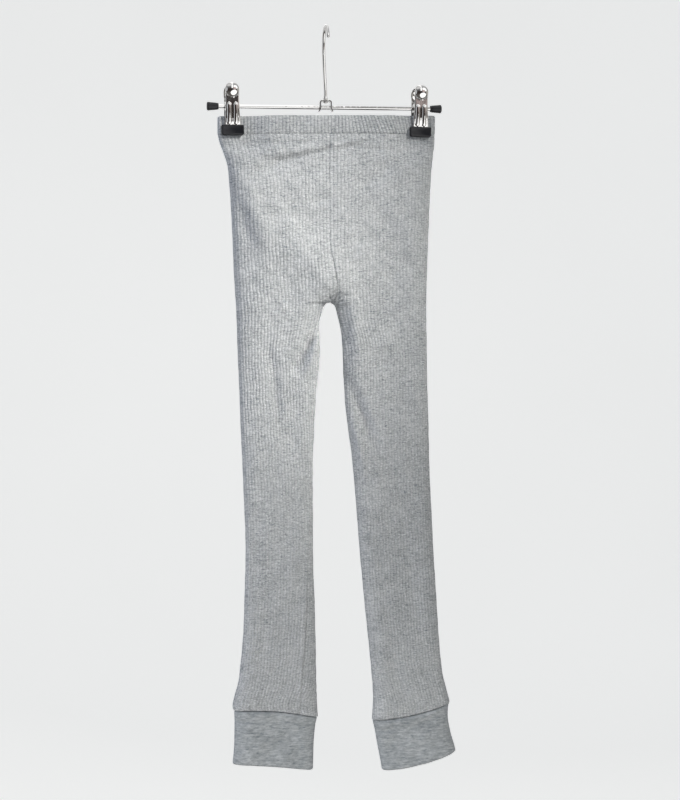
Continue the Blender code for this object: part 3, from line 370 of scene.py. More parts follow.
STIRRUP_SPLAY = ((0.0012, 0.0007), (0.0024, 0.0002), (0.0036, 0.0))  # height above its end, and distance out
STIRRUP_FLAT = 0.0023      # half the flat top
STIRRUP_EDGE = 0.00025
# the hook's swollen foot, from just above the stirrup: height and radius
HOOK_FOOT_GAP = 0.0004
HOOK_FOOT = ((0.0, 0.0018), (0.0003, 0.0021), (0.0010, 0.0021), (0.0013, 0.0018), (0.0016, 0.0020),
             (0.0026, 0.0017), (0.0040, 0.0015))
# the riveted end: distance below the stirrup's plate, and radius
RIVET = ((0.0003, 0.0015), (0.0004, 0.0021), (0.0007, 0.0021), (0.0011, 0.001806), (0.0014, 0.00105))
RIVET_TOP = 0.0005
HOOK_BACK_REACH = 0.0115
HOOK_BACK_ANGLE = math.radians(118)
HOOK_TIP_ANGLE = math.radians(-76)
HOOK_TIP_ROUND = (25, 45, 62, 76, 86)       # the rings of the wire's rounded tip, in degrees
# the hook's line from its foot to its bend: y and z
SHANK = ((0.0002, -0.0585), (0.0011, -0.0540), (0.0026, -0.0490), (0.0044, -0.0438), (0.0062, -0.0384),
         (0.0078, -0.0330), (0.0091, -0.0278))

# One half of a clip, from its thumb dome down to its jaw, with Z from the bar's axis: half width and
# distance of the sheet's outside from the bar's axis.
PLATE = (
    (0.0207, 0.0010, 0.0076), (0.0205, 0.0024, 0.0078), (0.0200, 0.0036, 0.0080), (0.0184, 0.0053, 0.0084),
    (0.0152, 0.0063, 0.0086), (0.0112, 0.0064, 0.0084), (0.0076, 0.0061, 0.0080), (0.0040, 0.0061, 0.0080),
    (0.0000, 0.00625, 0.00795), (-0.0043, 0.0064, 0.0077), (-0.0160, 0.0072, 0.0062),
    (-0.0176, 0.0073, 0.00585), (-0.0190, 0.0073, 0.00575), (-0.0262, 0.0073, 0.00575),
)
PLATE_ROWS = ((0.0207, 0.0180, 8), (0.0174, 0.0060, 20), (0.0054, -0.0180, 34), (-0.0190, -0.0262, 4))
PLATE_COLUMNS = 41
PLATE_TURN = 0.00035       # how far the plate's edges turn back
PLATE_TURN_FROM = 0.90     # and the share of the half width where that starts
DOME_Z = 0.0138            # middle of the thumb dome
DOME_RADIUS = 0.0068
DOME_HEIGHT = 0.0036
FLUTE_X = 0.0031           # the two long flutes, from the plate's middle
FLUTE_TOP = 0.0000
FLUTE_BOTTOM = -0.0155
FLUTE_HALF_WIDTH = 0.0020
FLUTE_HEIGHT = 0.0010
FLANGE = 0.0011
EAR_X = 0.00615
EAR_RADIUS = 0.0040
EAR_NEST = 0.0013          # the back half's ears lie this far inside the front half's
EAR_HOLE_RADIUS = 0.0022
EAR_BASE = 0.0079          # distance of the plate from the bar's axis
EAR_WIDENS = 0.72          # share of the radius over which the ear widens into the plate
SPRING_RADIUS = 0.0038
SPRING_HALF_LENGTH = 0.0035
SPRING_TAIL = ((0.0012, 0.0085), (0.0004, 0.0040))      # distance off the coil, and height
JAW_TOP = -0.0180
JAW_BOTTOM = -0.0274
JAW_HALF_WIDTH = 0.0101
JAW_INNER = HELD_DEPTH + 0.0006 + GAP
JAW_OUTER = JAW_INNER + 0.0034
JAW_CORNER = 0.0020
JAW_TOP_CORNER = 0.0009
PAD_LEAST_CORNER = 0.0002
# the pad's outline from its inner face to its panel: how far it is drawn in, and the distance in Y
PAD_LEVELS = ((0.0003, JAW_INNER), (0.0, JAW_INNER + 0.0003), (0.0, JAW_OUTER - 0.0006),
              (0.0002, JAW_OUTER - 0.0002), (0.0006, JAW_OUTER), (0.0011, JAW_OUTER),
              (0.0013, JAW_OUTER - 0.0002))

# ---------------------------------------------------------------- sizes of the stage
CAMERA_PLACE = (-0.2174, -1.3808, -0.3455)
CAMERA_TURN = (90.0, 0.0, -9.5)     # degrees
SENSOR_WIDTH = 36.0
# The lamps: name, place, aim, width, height, setting and share of it, spread in degrees, colour.
LAMPS = (
    ("key", (0.76, -0.88, 0.48), (-0.055, 0.0, -0.238), 0.08, 0.32, "key_power", 1.0, 14.5, "#fffdf9"),
    ("low", (-0.10, -1.3, -1.05), (-0.02, 0.0, -0.76), 0.5, 0.3, "key_power", 4.55, 60.0, "#fffdf9"),
    ("side_left", (-1.9, -0.5, 0.4), MIDDLE, 1.0, 1.6, "fill_power", 2.7, 180.0, "#e8eeff"),
    ("side_right", (1.9, 0.3, 0.2), MIDDLE, 1.0, 1.6, "fill_power", 0.4, 180.0, "#fffdf9"),
    ("back", (0.5, 1.9, 0.7), MIDDLE, 1.3, 1.3, "fill_power", 4.4, 180.0, "#fffdf9"),
)
FLOOR_Z = -1.60
SWEEP_RADIUS = 3.4
SWEEP_BEND = 0.9
SWEEP_TOP = 2.6
SWEEP_INNER = 0.8          # radius of the one ring of points on the floor

# What polished metal mirrors: the way to each window, the cosine at its edge and inside it, its colour.
WINDOWS = (
    ((0.36, -0.76, -0.54), 0.84, 0.88, (1.8, 1.8, 1.8)),
    ((0.56, -0.62, 0.55), 0.91, 0.94, (1.8, 1.8, 1.8)),
    ((0.42, -0.86, 0.25), 0.955, 0.985, (0.72, 0.60, 0.58)),
    ((-0.30, -0.30, 0.90), 0.90, 0.94, (0.9, 0.9, 0.9)),
    ((-0.86, -0.36, 0.10), 0.90, 0.95, (0.70, 0.72, 0.75)),
    ((0.93, -0.25, 0.05), 0.90, 0.95, (0.62, 0.60, 0.56)),
)
# The dim room from its floor to its ceiling: share of the height and colour.
ROOM = (
    (0.20, (0.16, 0.15, 0.14, 1.0)), (0.44, (0.050, 0.040, 0.037, 1.0)), (0.58, (0.060, 0.052, 0.050, 1.0)),
    (0.72, (0.20, 0.20, 0.20, 1.0)), (0.90, (0.50, 0.51, 0.52, 1.0)),
)
BACK_WALL = (-0.05, 0.35)   # Y of the way, from where the pale wall behind starts to where it is full
BACK_WALL_COLOUR = (0.80, 0.80, 0.80)
# The bright door frame that only metal left of the middle mirrors: its X from and to, and its Z from.
DOOR = (-0.08, -0.02, 0.125, 0.165, 0.22, 0.30)
DOOR_COLOUR = (1.8, 1.8, 1.8)
AIR = (0.216, 0.226, 0.238, 1.0)    # the soft light from all round
BACKGROUND = (0.83, 0.84, 0.83, 1.0)


# ---------------------------------------------------------------- colours and settings
def linear(code):
    """A colour from its sRGB hex code, as linear red, green, blue and alpha."""
    shares = [int(code[place:place + 2], 16) / 255.0 for place in (1, 3, 5)]
    return tuple(s / 12.92 if s <= 0.04045 else ((s + 0.055) / 1.055) ** 2.4 for s in shares) + (1.0,)


def colour_setting(name, description, code):
    """A colour that a user can change."""
    return FloatVectorProperty(name=name, description=description, subtype="COLOR", size=4,
                               min=0.0, max=1.0, default=linear(code))


def length_setting(name, description, metres):
    """A length that a user can change."""
    return FloatProperty(name=name, description=description, default=metres, min=0.0,
                         unit="LENGTH", subtype="DISTANCE", precision=5)


class LeggingsSettings(PropertyGroup):
    """Sizes and colours of the knitted pieces."""
    hip_rib_pitch: length_setting("Hip rib pitch", "Width of a rib over the hips", 0.0032)
    leg_rib_pitch: length_setting("Leg rib pitch", "Width of a rib down the legs", 0.0028)
    rib_height: length_setting("Rib height", "How far a rib stands proud", 0.0006)
    row_spacing: length_setting("Row spacing", "Height of one row of mesh on the legs", 0.0029)
    pale_yarn: colour_setting("Pale yarn", "The undyed fibres of the melange", "#dfe0e0")
    grey_yarn: colour_setting("Grey yarn", "The mid grey fibres of the melange", "#bcbebf")
    dark_yarn: colour_setting("Dark yarn", "The few dark fibres of the melange", "#878b8e")
    thread: colour_setting("Sewing thread", "The thread of the cover stitches", "#c6cacb")


class HangerSettings(PropertyGroup):
    """Sizes and colours of the hanger."""
    coil_wire: length_setting("Coil wire", "Thickness of the clips' spring wire", 0.0009)
    coil_turns: IntProperty(name="Coil turns", description="Turns of each clip's spring",
                            default=6, min=2, max=12)
    chrome: colour_setting("Chrome", "The polished plating", "#d4d3d1")
    spring: colour_setting("Spring wire", "The drawn wire of the springs", "#b0aeab")
    rubber: colour_setting("Rubber", "The jaw pads and the bar's caps", "#0d0f14")


class StageSettings(PropertyGroup):
    """The studio."""
    backdrop: colour_setting("Backdrop", "The matt paint of the floor and the sweep", "#f1f1ef")
    lens: FloatProperty(name="Lens", description="Focal length of the camera", default=67.7,
                        min=20.0, max=200.0, unit="CAMERA", subtype="DISTANCE_CAMERA")
    key_power: FloatProperty(name="Key light", description="Strength of the soft light in front",
                             default=0.221, min=0.0, unit="POWER")
    fill_power: FloatProperty(name="Fill light", description="Strength of the lights at the sides and behind",
                              default=6.0, min=0.0, unit="POWER")


# ---------------------------------------------------------------- materials
def fill_inputs(tree, node, inputs):
    """Put values on a node's sockets, or links to them."""
    for socket, value in inputs.items():
        if isinstance(value, bpy.types.NodeSocket):
            tree.links.new(value, node.inputs[socket])
        else:
            node.inputs[socket].default_value = value


def add_node(tree, kind, settings=None, inputs=None):
    """One node with its settings, its values and its links."""
    node = tree.nodes.new(kind)
    for name, value in (settings or {}).items():
        setattr(node, name, value)
    fill_inputs(tree, node, inputs or {})
    return node


def new_material(name):
    """An empty node material: its tree and its Principled shader."""
    made = bpy.data.materials.new(name)
    made.use_nodes = True
    return made, made.node_tree, made.node_tree.nodes["Principled BSDF"]


def ramp_colours(ramp, stops):
    """Put colours on a colour ramp: (place, colour) from left to right."""
    elements = ramp.color_ramp.elements
    while len(elements) < len(stops):
        elements.new(0.5)
    for element, (place, colour) in zip(elements, stops):
        element.position = place
        element.color = colour


def knit_material(name, yarns, fleck, level_share, nub_share, wale, course, ribbed):
    """Cotton melange knit. Undyed, grey and a few dark fibres are spun together, so the eye sees short
    level flecks of grey on a pale ground. Matt, with the soft sheen of short fibres. `fleck` is the length
    of a fleck, `course` the height of a stitch, `wale` the chains of stitches in each unit of the map."""
    made, tree, shader = new_material(name)
    dark, grey, pale = yarns
    place = add_node(tree, "ShaderNodeTexCoord").outputs["Object"]
    # the yarn runs level round the leg, so its flecks are wider than high and its dark streaks are dashes
    level, flat = (add_node(tree, "ShaderNodeMapping", inputs={
        "Vector": place, "Scale": (1.0, 1.0, squeeze)}).outputs[0] for squeeze in (1.7, 4.5))
    flecks = add_node(tree, "ShaderNodeTexNoise", inputs={
        "Vector": level, "Scale": 1.0 / fleck, "Detail": 3.0, "Roughness": 0.75}).outputs["Fac"]
    streaks = add_node(tree, "ShaderNodeTexNoise", inputs={
        "Vector": flat, "Scale": 0.36 / fleck, "Detail": 2.0, "Roughness": 0.6}).outputs["Fac"]
    clouds = add_node(tree, "ShaderNodeTexNoise", inputs={
        "Vector": level, "Scale": 60.0, "Detail": 2.0}).outputs["Fac"]
    both = add_node(tree, "ShaderNodeMix", inputs={
        "Factor": level_share, "A": flecks, "B": streaks}).outputs["Result"]
    blend = add_node(tree, "ShaderNodeMix", inputs={
        "Factor": 0.12, "A": both, "B": clouds}).outputs["Result"]
    ramp = add_node(tree, "ShaderNodeValToRGB", inputs={"Fac": blend})
    ramp_colours(ramp, ((0.36, dark), (0.48, grey), (0.62, pale)))
    colour = ramp.outputs["Color"]
    # here and there a pale nub sits on the face, and a dark fibre lies level across it
    nubs = add_node(tree, "ShaderNodeTexNoise", inputs={
        "Vector": level, "Scale": 620.0, "Detail": 1.0}).outputs["Fac"]
    nub = add_node(tree, "ShaderNodeMapRange", {"interpolation_type": "SMOOTHSTEP"}, {
        "Value": nubs, "From Min": 0.62, "From Max": 0.72, "To Min": 0.0, "To Max": nub_share}).outputs[0]
    colour = add_node(tree, "ShaderNodeMix", {"data_type": "RGBA"}, {
        "Factor": nub, "A": colour, "B": linear("#f6f7f7")}).outputs["Result"]
    fibres = add_node(tree, "ShaderNodeTexNoise", inputs={
        "Vector": flat, "Scale": 210.0, "Detail": 1.0}).outputs["Fac"]
    fibre = add_node(tree, "ShaderNodeMapRange", {"interpolation_type": "SMOOTHSTEP"}, {
        "Value": fibres, "From Min": 0.63, "From Max": 0.70, "To Min": 0.0, "To Max": 0.60}).outputs[0]
    colour = add_node(tree, "ShaderNodeMix", {"data_type": "RGBA", "blend_type": "MULTIPLY"}, {
        "Factor": fibre, "A": colour, "B": (0.50, 0.54, 0.58, 1.0)}).outputs["Result"]

    # Knit stitches: each wale is a chain of small Vs, one for each course. The map counts wales across
    # and metres down.
    run = add_node(tree, "ShaderNodeUVMap", {"uv_map": "knit"}).outputs["UV"]
    split = add_node(tree, "ShaderNodeSeparateXYZ", inputs={"Vector": run})
    across = add_node(tree, "ShaderNodeMath", {"operation": "MULTIPLY"}, {
        0: split.outputs["X"], 1: wale}).outputs[0]
    lean = add_node(tree, "ShaderNodeMath", {"operation": "PINGPONG"}, {0: across, 1: 0.5}).outputs[0]
    vee = add_node(tree, "ShaderNodeMath", {"operation": "MULTIPLY_ADD"}, {
        0: split.outputs["Y"], 1: 1.0 / course, 2: lean}).outputs[0]
    turn = add_node(tree, "ShaderNodeMath", {"operation": "MULTIPLY"}, {0: vee, 1: 2.0 * math.pi}).outputs[0]
    stitch = add_node(tree, "ShaderNodeMath", {"operation": "SINE"}, {0: turn}).outputs[0]
    fuzz = add_node(tree, "ShaderNodeTexNoise", inputs={
        "Vector": place, "Scale": 1800.0, "Detail": 3.0, "Roughness": 0.7}).outputs["Fac"]
    relief = add_node(tree, "ShaderNodeMath", {"operation": "MULTIPLY_ADD"}, {
        0: stitch, 1: 0.35, 2: fuzz}).outputs[0]
    bump = add_node(tree, "ShaderNodeBump", inputs={"Strength": 0.40, "Distance": 0.0003, "Height": relief})
    if ribbed:
        # painted shade: the colour of the purl wales between the ribs is darkened where shade falls in the
        # grooves, less so down the legs, where the ribs close up
        rib = add_node(tree, "ShaderNodeMath", {"operation": "PINGPONG"}, {
            0: split.outputs["X"], 1: 0.5}).outputs[0]
        deep = add_node(tree, "ShaderNodeMapRange", inputs={
            "Value": split.outputs["Y"], "From Min": -0.60, "From Max": 0.30,
            "To Min": 0.20, "To Max": 0.54}).outputs[0]
        groove_shade = add_node(tree, "ShaderNodeMapRange", {"interpolation_type": "SMOOTHSTEP"}, {
            "Value": rib, "From Min": 0.24, "From Max": 0.5, "To Min": 0.0, "To Max": deep}).outputs[0]
        colour = add_node(tree, "ShaderNodeMix", {"data_type": "RGBA", "blend_type": "MULTIPLY"}, {
            "Factor": groove_shade, "A": colour, "B": (0.46, 0.49, 0.52, 1.0)}).outputs["Result"]
    fill_inputs(tree, shader, {
        "Base Color": colour, "Normal": bump.outputs["Normal"], "Roughness": 0.92,
        "Specular IOR Level": 0.2, "Sheen Weight": 0.06, "Sheen Roughness": 0.55})
    return made


def thread_material(colour):
    """Polyester sewing thread, twisted from two plies. Slightly glossier than the cotton round it."""
    made, tree, shader = new_material("twisted_polyester_thread")
    place = add_node(tree, "ShaderNodeTexCoord").outputs["Object"]
    twist = add_node(tree, "ShaderNodeTexWave", {"bands_direction": "DIAGONAL"}, {
        "Vector": place, "Scale": 900.0, "Distortion": 1.0}).outputs["Fac"]
    shade = add_node(tree, "ShaderNodeMix", {"data_type": "RGBA", "blend_type": "MULTIPLY"}, {
        "Factor": twist, "A": colour, "B": (0.78, 0.80, 0.82, 1.0)}).outputs["Result"]
    bump = add_node(tree, "ShaderNodeBump", inputs={"Strength": 0.5, "Distance": 0.0001, "Height": twist})
    fill_inputs(tree, shader, {
        "Base Color": shade, "Normal": bump.outputs["Normal"], "Roughness": 0.55})
    return made


def chrome_material(colour):
    """Nickel and chrome plating on pressed and drawn steel. A mirror with slight waves from the pressing
    and faint rub marks, so that its highlights are sharp but not perfect."""
    made, tree, shader = new_material("chrome_plated_pressed_steel")
    place = add_node(tree, "ShaderNodeTexCoord").outputs["Object"]
    waves = add_node(tree, "ShaderNodeTexNoise", inputs={
        "Vector": place, "Scale": 260.0, "Detail": 1.0}).outputs["Fac"]
    rubs = add_node(tree, "ShaderNodeTexNoise", inputs={
        "Vector": place, "Scale": 900.0, "Detail": 4.0, "Roughness": 0.7}).outputs["Fac"]
    rough = add_node(tree, "ShaderNodeMapRange", inputs={
        "Value": rubs, "From Min": 0.35, "From Max": 0.75, "To Min": 0.03, "To Max": 0.11}).outputs[0]
    bump = add_node(tree, "ShaderNodeBump", inputs={"Strength": 0.10, "Distance": 0.0006, "Height": waves})
    tone = add_node(tree, "ShaderNodeMix", {"data_type": "RGBA", "blend_type": "MULTIPLY"}, {
        "Factor": rubs, "A": colour, "B": (0.90, 0.90, 0.91, 1.0)}).outputs["Result"]
    fill_inputs(tree, shader, {
        "Base Color": tone, "Normal": bump.outputs["Normal"], "Roughness": rough, "Metallic": 1.0})
    return made


def spring_material(colour):
    """Drawn spring steel, bright nickel plated. Fine draw lines run along the wire and blur its gloss."""
    made, tree, shader = new_material("drawn_spring_steel")
    place = add_node(tree, "ShaderNodeTexCoord").outputs["Object"]
    lines = add_node(tree, "ShaderNodeTexNoise", inputs={
        "Vector": place, "Scale": 1500.0, "Detail": 3.0}).outputs["Fac"]
    rough = add_node(tree, "ShaderNodeMapRange", inputs={
        "Value": lines, "From Min": 0.3, "From Max": 0.7, "To Min": 0.22, "To Max": 0.40}).outputs[0]
    tone = add_node(tree, "ShaderNodeMix", {"data_type": "RGBA", "blend_type": "MULTIPLY"}, {
        "Factor": lines, "A": colour, "B": (0.72, 0.72, 0.74, 1.0)}).outputs["Result"]
    fill_inputs(tree, shader, {"Base Color": tone, "Roughness": rough, "Metallic": 1.0})
    return made


def rubber_material(colour):
    """Moulded black rubber. Nearly black with a satin skin, dusty in its pores, so that edges catch a
    soft grey line."""
    made, tree, shader = new_material("moulded_black_rubber")
    place = add_node(tree, "ShaderNodeTexCoord").outputs["Object"]
    skin = add_node(tree, "ShaderNodeTexNoise", inputs={
        "Vector": place, "Scale": 1400.0, "Detail": 4.0, "Roughness": 0.65}).outputs["Fac"]
    dust = add_node(tree, "ShaderNodeTexNoise", inputs={
        "Vector": place, "Scale": 220.0, "Detail": 3.0}).outputs["Fac"]
    tone = add_node(tree, "ShaderNodeMapRange", inputs={
        "Value": dust, "From Min": 0.45, "From Max": 0.8, "To Min": 0.0, "To Max": 0.06}).outputs[0]
    shade = add_node(tree, "ShaderNodeMix", {"data_type": "RGBA"}, {
        "Factor": tone, "A": colour, "B": (0.10, 0.10, 0.11, 1.0)}).outputs["Result"]
    rough = add_node(tree, "ShaderNodeMapRange", inputs={
        "Value": skin, "From Min": 0.3, "From Max": 0.7, "To Min": 0.38, "To Max": 0.52}).outputs[0]
    bump = add_node(tree, "ShaderNodeBump", inputs={"Strength": 0.2, "Distance": 0.0001, "Height": skin})
    fill_inputs(tree, shader, {
        "Base Color": shade, "Normal": bump.outputs["Normal"], "Roughness": rough})
    return made


def paint_material(colour):
    """Matt wall paint, rolled on and lit from behind. Even and pale from all sides, with the faintest
    cloud."""
    made, tree, shader = new_material("rolled_matt_paint")
    place = add_node(tree, "ShaderNodeTexCoord").outputs["Object"]
    cloud = add_node(tree, "ShaderNodeTexNoise", inputs={
        "Vector": place, "Scale": 1.3, "Detail": 3.0}).outputs["Fac"]
    tone = add_node(tree, "ShaderNodeMix", {"data_type": "RGBA", "blend_type": "MULTIPLY"}, {
        "Factor": cloud, "A": colour, "B": (0.965, 0.965, 0.965, 1.0)}).outputs["Result"]
    fill_inputs(tree, shader, {
        "Base Color": tone, "Emission Color": tone, "Emission Strength": 0.655, "Roughness": 0.9})
    return made


# ---------------------------------------------------------------- curves of the cloth
def smooth(value):
    """Ease from 0 to 1."""
    value = np.clip(value, 0.0, 1.0)
    return value * value * (3.0 - 2.0 * value)


def rounding(distance, length):
    """A quarter ellipse: 0 at a fold, 1 from `length` onwards."""
    value = 1.0 - np.clip(distance / length, 0.0, 1.0)
    return np.sqrt(1.0 - value * value)


def held_share(x):
    """How much of the cloth at x is squeezed by a clip, from 0 to 1."""
    return smooth((np.abs(x - HELD_MIDDLE) - HELD_FROM) / (HELD_FULL - HELD_FROM))


def monotone_curve(places, values, wanted):
    """Values at other places, on a cubic curve that never swings past the given ones."""
    steps = np.diff(places)
    slopes = np.diff(values) / steps
    total = slopes[:-1] + slopes[1:]
    same = slopes[:-1] * slopes[1:] > 0.0
    between = np.where(same, 2.0 * slopes[:-1] * slopes[1:] / np.where(same, total, 1.0), 0.0)
    tangents = np.concatenate((slopes[:1], between, slopes[-1:]))
    index = np.clip(np.searchsorted(places, wanted, side="right") - 1, 0, len(steps) - 1)
    share = (wanted - places[index]) / steps[index]
    rise, width = values[index + 1] - values[index], steps[index]
    start, end = tangents[index] * width, tangents[index + 1] * width
    bend = share * (1.0 - share) * ((1.0 - share) * (start - rise) - share * (end - rise))
    return values[index] + rise * share + bend


def fold_depth(face, x, z):
    """The inward depth of all folds and creases together, at places on the front or the back."""
    total = np.zeros_like(x)
    for fold_x, fold_z, length, width, depth, lean in FOLDS[face] + CREASES[face]:
        if abs(fold_z - z[0]) > 0.5 * length + ROW_SLANT:
            continue
        right, up = x - fold_x, z - fold_z
        cos, sin = math.cos(math.radians(lean)), math.sin(math.radians(lean))
        across, along = right * cos - up * sin, right * sin + up * cos
        fade = np.maximum(0.0, 1.0 - (2.0 * along / length) ** 2) ** 2
        total += depth * fade * np.exp(-(across / width) ** 2)
    for depth, along_x, along_z, phase in WAVES:
        total += depth * np.sin(2.0 * math.pi * (along_x * x + along_z * z) + phase)
    return total


def half_depth(section, depth, held_depth, both_ends, x):
    """Distance of the cloth from the middle plane at x, on one face, and the share of the full depth."""
    side, inner = np.abs(x - section.side_x), np.abs(x - section.inner_x)
    length = ROUND_RATIO * depth
    turn = rounding(inner, length)
    share = rounding(side, length) * np.sqrt(section.seam ** 2 + (1.0 - section.seam ** 2) * turn ** 2)
    edge = np.minimum(side, inner) if both_ends else side
    squeeze = section.held * held_share(x)
    return (1.0 - squeeze) * depth * share + squeeze * held_depth * rounding(edge, held_depth), share


Line = namedtuple("Line", "points normals lengths width")


def face_line(section, face, held_depth, both_ends, dent):
    """The cloth's outside on one face of a section, from the side fold to the inner end. `dent` gives
    the inward depth of seams at (x, z)."""
    share = 0.5 - 0.5 * np.cos(math.pi * np.arange(FINE + 1) / FINE)
    x = section.side_x + (section.inner_x - section.side_x) * share
    z = section.side_z + (section.inner_z - section.side_z) * share
    z += section.bow * 4.0 * share * (1.0 - share)
    depth = section.front if face == "front" else section.back
    plain, rounded = half_depth(section, depth, held_depth, both_ends, x)
    straight = section._replace(seam=max(section.seam, section.laid))
    spaced = half_depth(straight, depth, held_depth, both_ends, x)[0]
    dip = (fold_depth(face, x, z) + dent(x, z)) * (1.0 - section.held * held_share(x))
    inwards = dip * np.where(dip > 0.0, np.maximum(rounded, FOLD_AT_SIDES), rounded)
    half = plain - np.minimum(inwards, DEEPEST_FOLD * plain)
    sign = -1.0 if face == "front" else 1.0
    normals = normals_of(x, sign * half, sign)
    outwards = np.sign(section.side_x - section.inner_x)
    normals[0] = (outwards, 0.0)
    if both_ends or half[-1] < 1e-9:
        normals[-1] = (-outwards, 0.0)
    return Line(np.stack((x, sign * half, z), axis=1), normals, run_of(x, spaced), run_of(x, plain)[-1])


def no_dent(x, z):
    """The inward depth of seams where there are none."""
    return np.zeros_like(x)


def normals_of(x, y, sign):
    """Normals of a line, seen from above, away from the middle plane."""
    normals = np.stack((-np.gradient(y), np.gradient(x)), axis=1)
    normals /= np.maximum(np.linalg.norm(normals, axis=1, keepdims=True), 1e-12)
    return normals if normals[len(x) // 2, 1] * sign > 0.0 else -normals


def run_of(x, y):
    """The length so far of a line, seen from above."""
    return np.concatenate(([0.0], np.cumsum(np.hypot(np.diff(x), np.diff(y)))))


def along(line, distances):
    """Points and normals at distances along a line."""
    inside = np.clip(distances, 0.0, line.lengths[-1])
    points = np.stack([np.interp(inside, line.lengths, line.points[:, axis]) for axis in range(3)], axis=-1)
    normals = np.stack([np.interp(inside, line.lengths, line.normals[:, axis]) for axis in range(2)], axis=-1)
    return points, normals / np.maximum(np.linalg.norm(normals, axis=-1, keepdims=True), 1e-12)


def rib_profile(phase):
    """Height of a rib, from 0 in the groove to 1 on its crest, where the phase is whole."""
    away = np.abs(phase - np.round(phase)) * 2.0
    return np.sqrt(np.maximum(0.0, 1.0 - away ** RIB_FULLNESS))


def knitted(points, normals, heights):
    """Points moved out of the cloth."""
    moved = points.copy()
    moved[..., :2] += normals * heights[..., None]
    return moved


# ---------------------------------------------------------------- mesh helpers
def finished_piece(name, mesh, finish, node=None, sharp=50):
    """One smooth-shaded piece that rides with the hanger, in place of a solid's node."""
    mesh.shade_smooth()
    if sharp:
        mesh.set_sharp_from_angle(angle=math.radians(sharp))
    piece = bpy.data.objects.new(name, mesh)
    bpy.context.collection.objects.link(piece)
    piece.data.materials.append(finish_of(finish))
    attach(piece, "root")
    if node:
        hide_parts(node)
    return piece


def mesh_of(name, points, faces, maps=None):
    """A mesh with its double points merged and its faces pointing out. `maps` gives each point's place
    on the knit."""
    mesh = bpy.data.meshes.new(name)
    mesh.from_pydata([tuple(point) for point in points], [], faces)
    if maps is not None:
        layer = mesh.uv_layers.new(name="knit")
        numbers = np.zeros(len(mesh.loops), dtype=np.int32)
        mesh.loops.foreach_get("vertex_index", numbers)
        layer.data.foreach_set("uv", np.asarray(maps, dtype=np.float32)[numbers].ravel())
    work = bmesh.new()
    work.from_mesh(mesh)
    bmesh.ops.remove_doubles(work, verts=work.verts, dist=MERGE_DISTANCE)
    bmesh.ops.recalc_face_normals(work, faces=work.faces)
    work.to_mesh(mesh)
    work.free()
    return mesh


def joined(name, parts):
    """One mesh from several (points, faces)."""
    points, faces = [], []
    for some_points, some_faces in parts:
        start = len(points)
        points += [tuple(point) for point in some_points]
        faces += [[start + number for number in face] for face in some_faces]
    return mesh_of(name, points, faces)


def grid_faces(rows, columns, start=0, ring=False):
    """Quads over rows of points that were added one row after another."""
    faces = []
    for row in range(rows - 1):
        for column in range(columns if ring else columns - 1):
            after = (column + 1) % columns
            one = start + row * columns
            two = one + columns
            faces.append((one + column, one + after, two + after, two + column))
    return faces


def closed_faces(rows, columns):
    """Quads over rings of points, where the last ring meets the first one."""
    start = (rows - 1) * columns
    return grid_faces(rows, columns, ring=True) + [
        (start + step, start + (step + 1) % columns, (step + 1) % columns, step) for step in range(columns)]


def capped_faces(rows, columns):
    """Quads over rings of points, with the first and the last ring closed by one face each."""
    ends = [list(range(columns)), list(range((rows - 1) * columns, rows * columns))]
    return grid_faces(rows, columns, ring=True) + ends


def tube(points, radii, sides):
    """A closed tube along a line of points, with one radius or one for each point."""
    points = [Vector(point) for point in points]
    rings, last = [], len(points) - 1
    across = None
    for number, point in enumerate(points):
        direction = (points[min(number + 1, last)] - points[max(number - 1, 0)]).normalized()
        if across is None:
            across = direction.orthogonal().normalized()
        across = (across - direction * across.dot(direction)).normalized()
        other = direction.cross(across)
        radius = radii[number] if hasattr(radii, "__len__") else radii
        for side in range(sides):
            angle = 2.0 * math.pi * side / sides
            rings.append(point + (across * math.cos(angle) + other * math.sin(angle)) * radius)
    return rings, capped_faces(len(points), sides)


def turned(profile):
    """A shape turned about X from (x, radius) points. It closes where the profile meets the axis."""
    points = []
    for x, radius in profile:
        for side in range(TURNED_SIDES):
            angle = 2.0 * math.pi * side / TURNED_SIDES
            points.append(Vector((x, radius * math.cos(angle), radius * math.sin(angle))))
    return points, grid_faces(len(profile), TURNED_SIDES, ring=True)


def placed(part, matrix):
    """A part's points moved by a matrix."""
    points, faces = part
    return [matrix @ Vector(point) for point in points], faces


# ---------------------------------------------------------------- the legs
def panel_table(side):
    """One leg's panel as arrays: the place of each row down the leg, and its section."""
    toward = 1.0 if side == "right" else -1.0
    rows = []
    for right_x, right_z, left_x, left_z, seam_x, seam_z, front, back, held in TORSO:
        x, z = (right_x, right_z) if side == "right" else (left_x, left_z)
        rows.append((x, z, seam_x - toward * SEAM_GAP / 2.0, seam_z, front, back, 0.0, held, 0.0))
    for side_x, side_z, inner_x, inner_z, front, back, bow in LEGS[side]:
        rows.append((side_x, side_z, inner_x, inner_z, front, back, 0.0, 0.0, bow))
    table = np.array(rows)
    table[0, (1, 3)] += GAP - WAIST_GAP
    return -0.5 * (table[:, 1] + table[:, 3]), table


def sections_at(places, table, wanted, crotch=None):
    """Sections at other places down a leg."""
    fields = [monotone_curve(places, table[:, column], wanted) for column in range(table.shape[1])]
    sections = []
    for number, place in enumerate(wanted):
        values = [float(field[number]) for field in fields]
        laid = 0.0
        if crotch is not None:
            lift = min(max((crotch - place) / ARCH_HEIGHT, 0.0), 1.0)
            values[6] = math.sqrt(1.0 - (1.0 - lift) ** 2)
            laid = 1.0 - float(smooth((place - crotch) / LAID_LENGTH))
        sections.append(Section(*values, laid))
    return sections


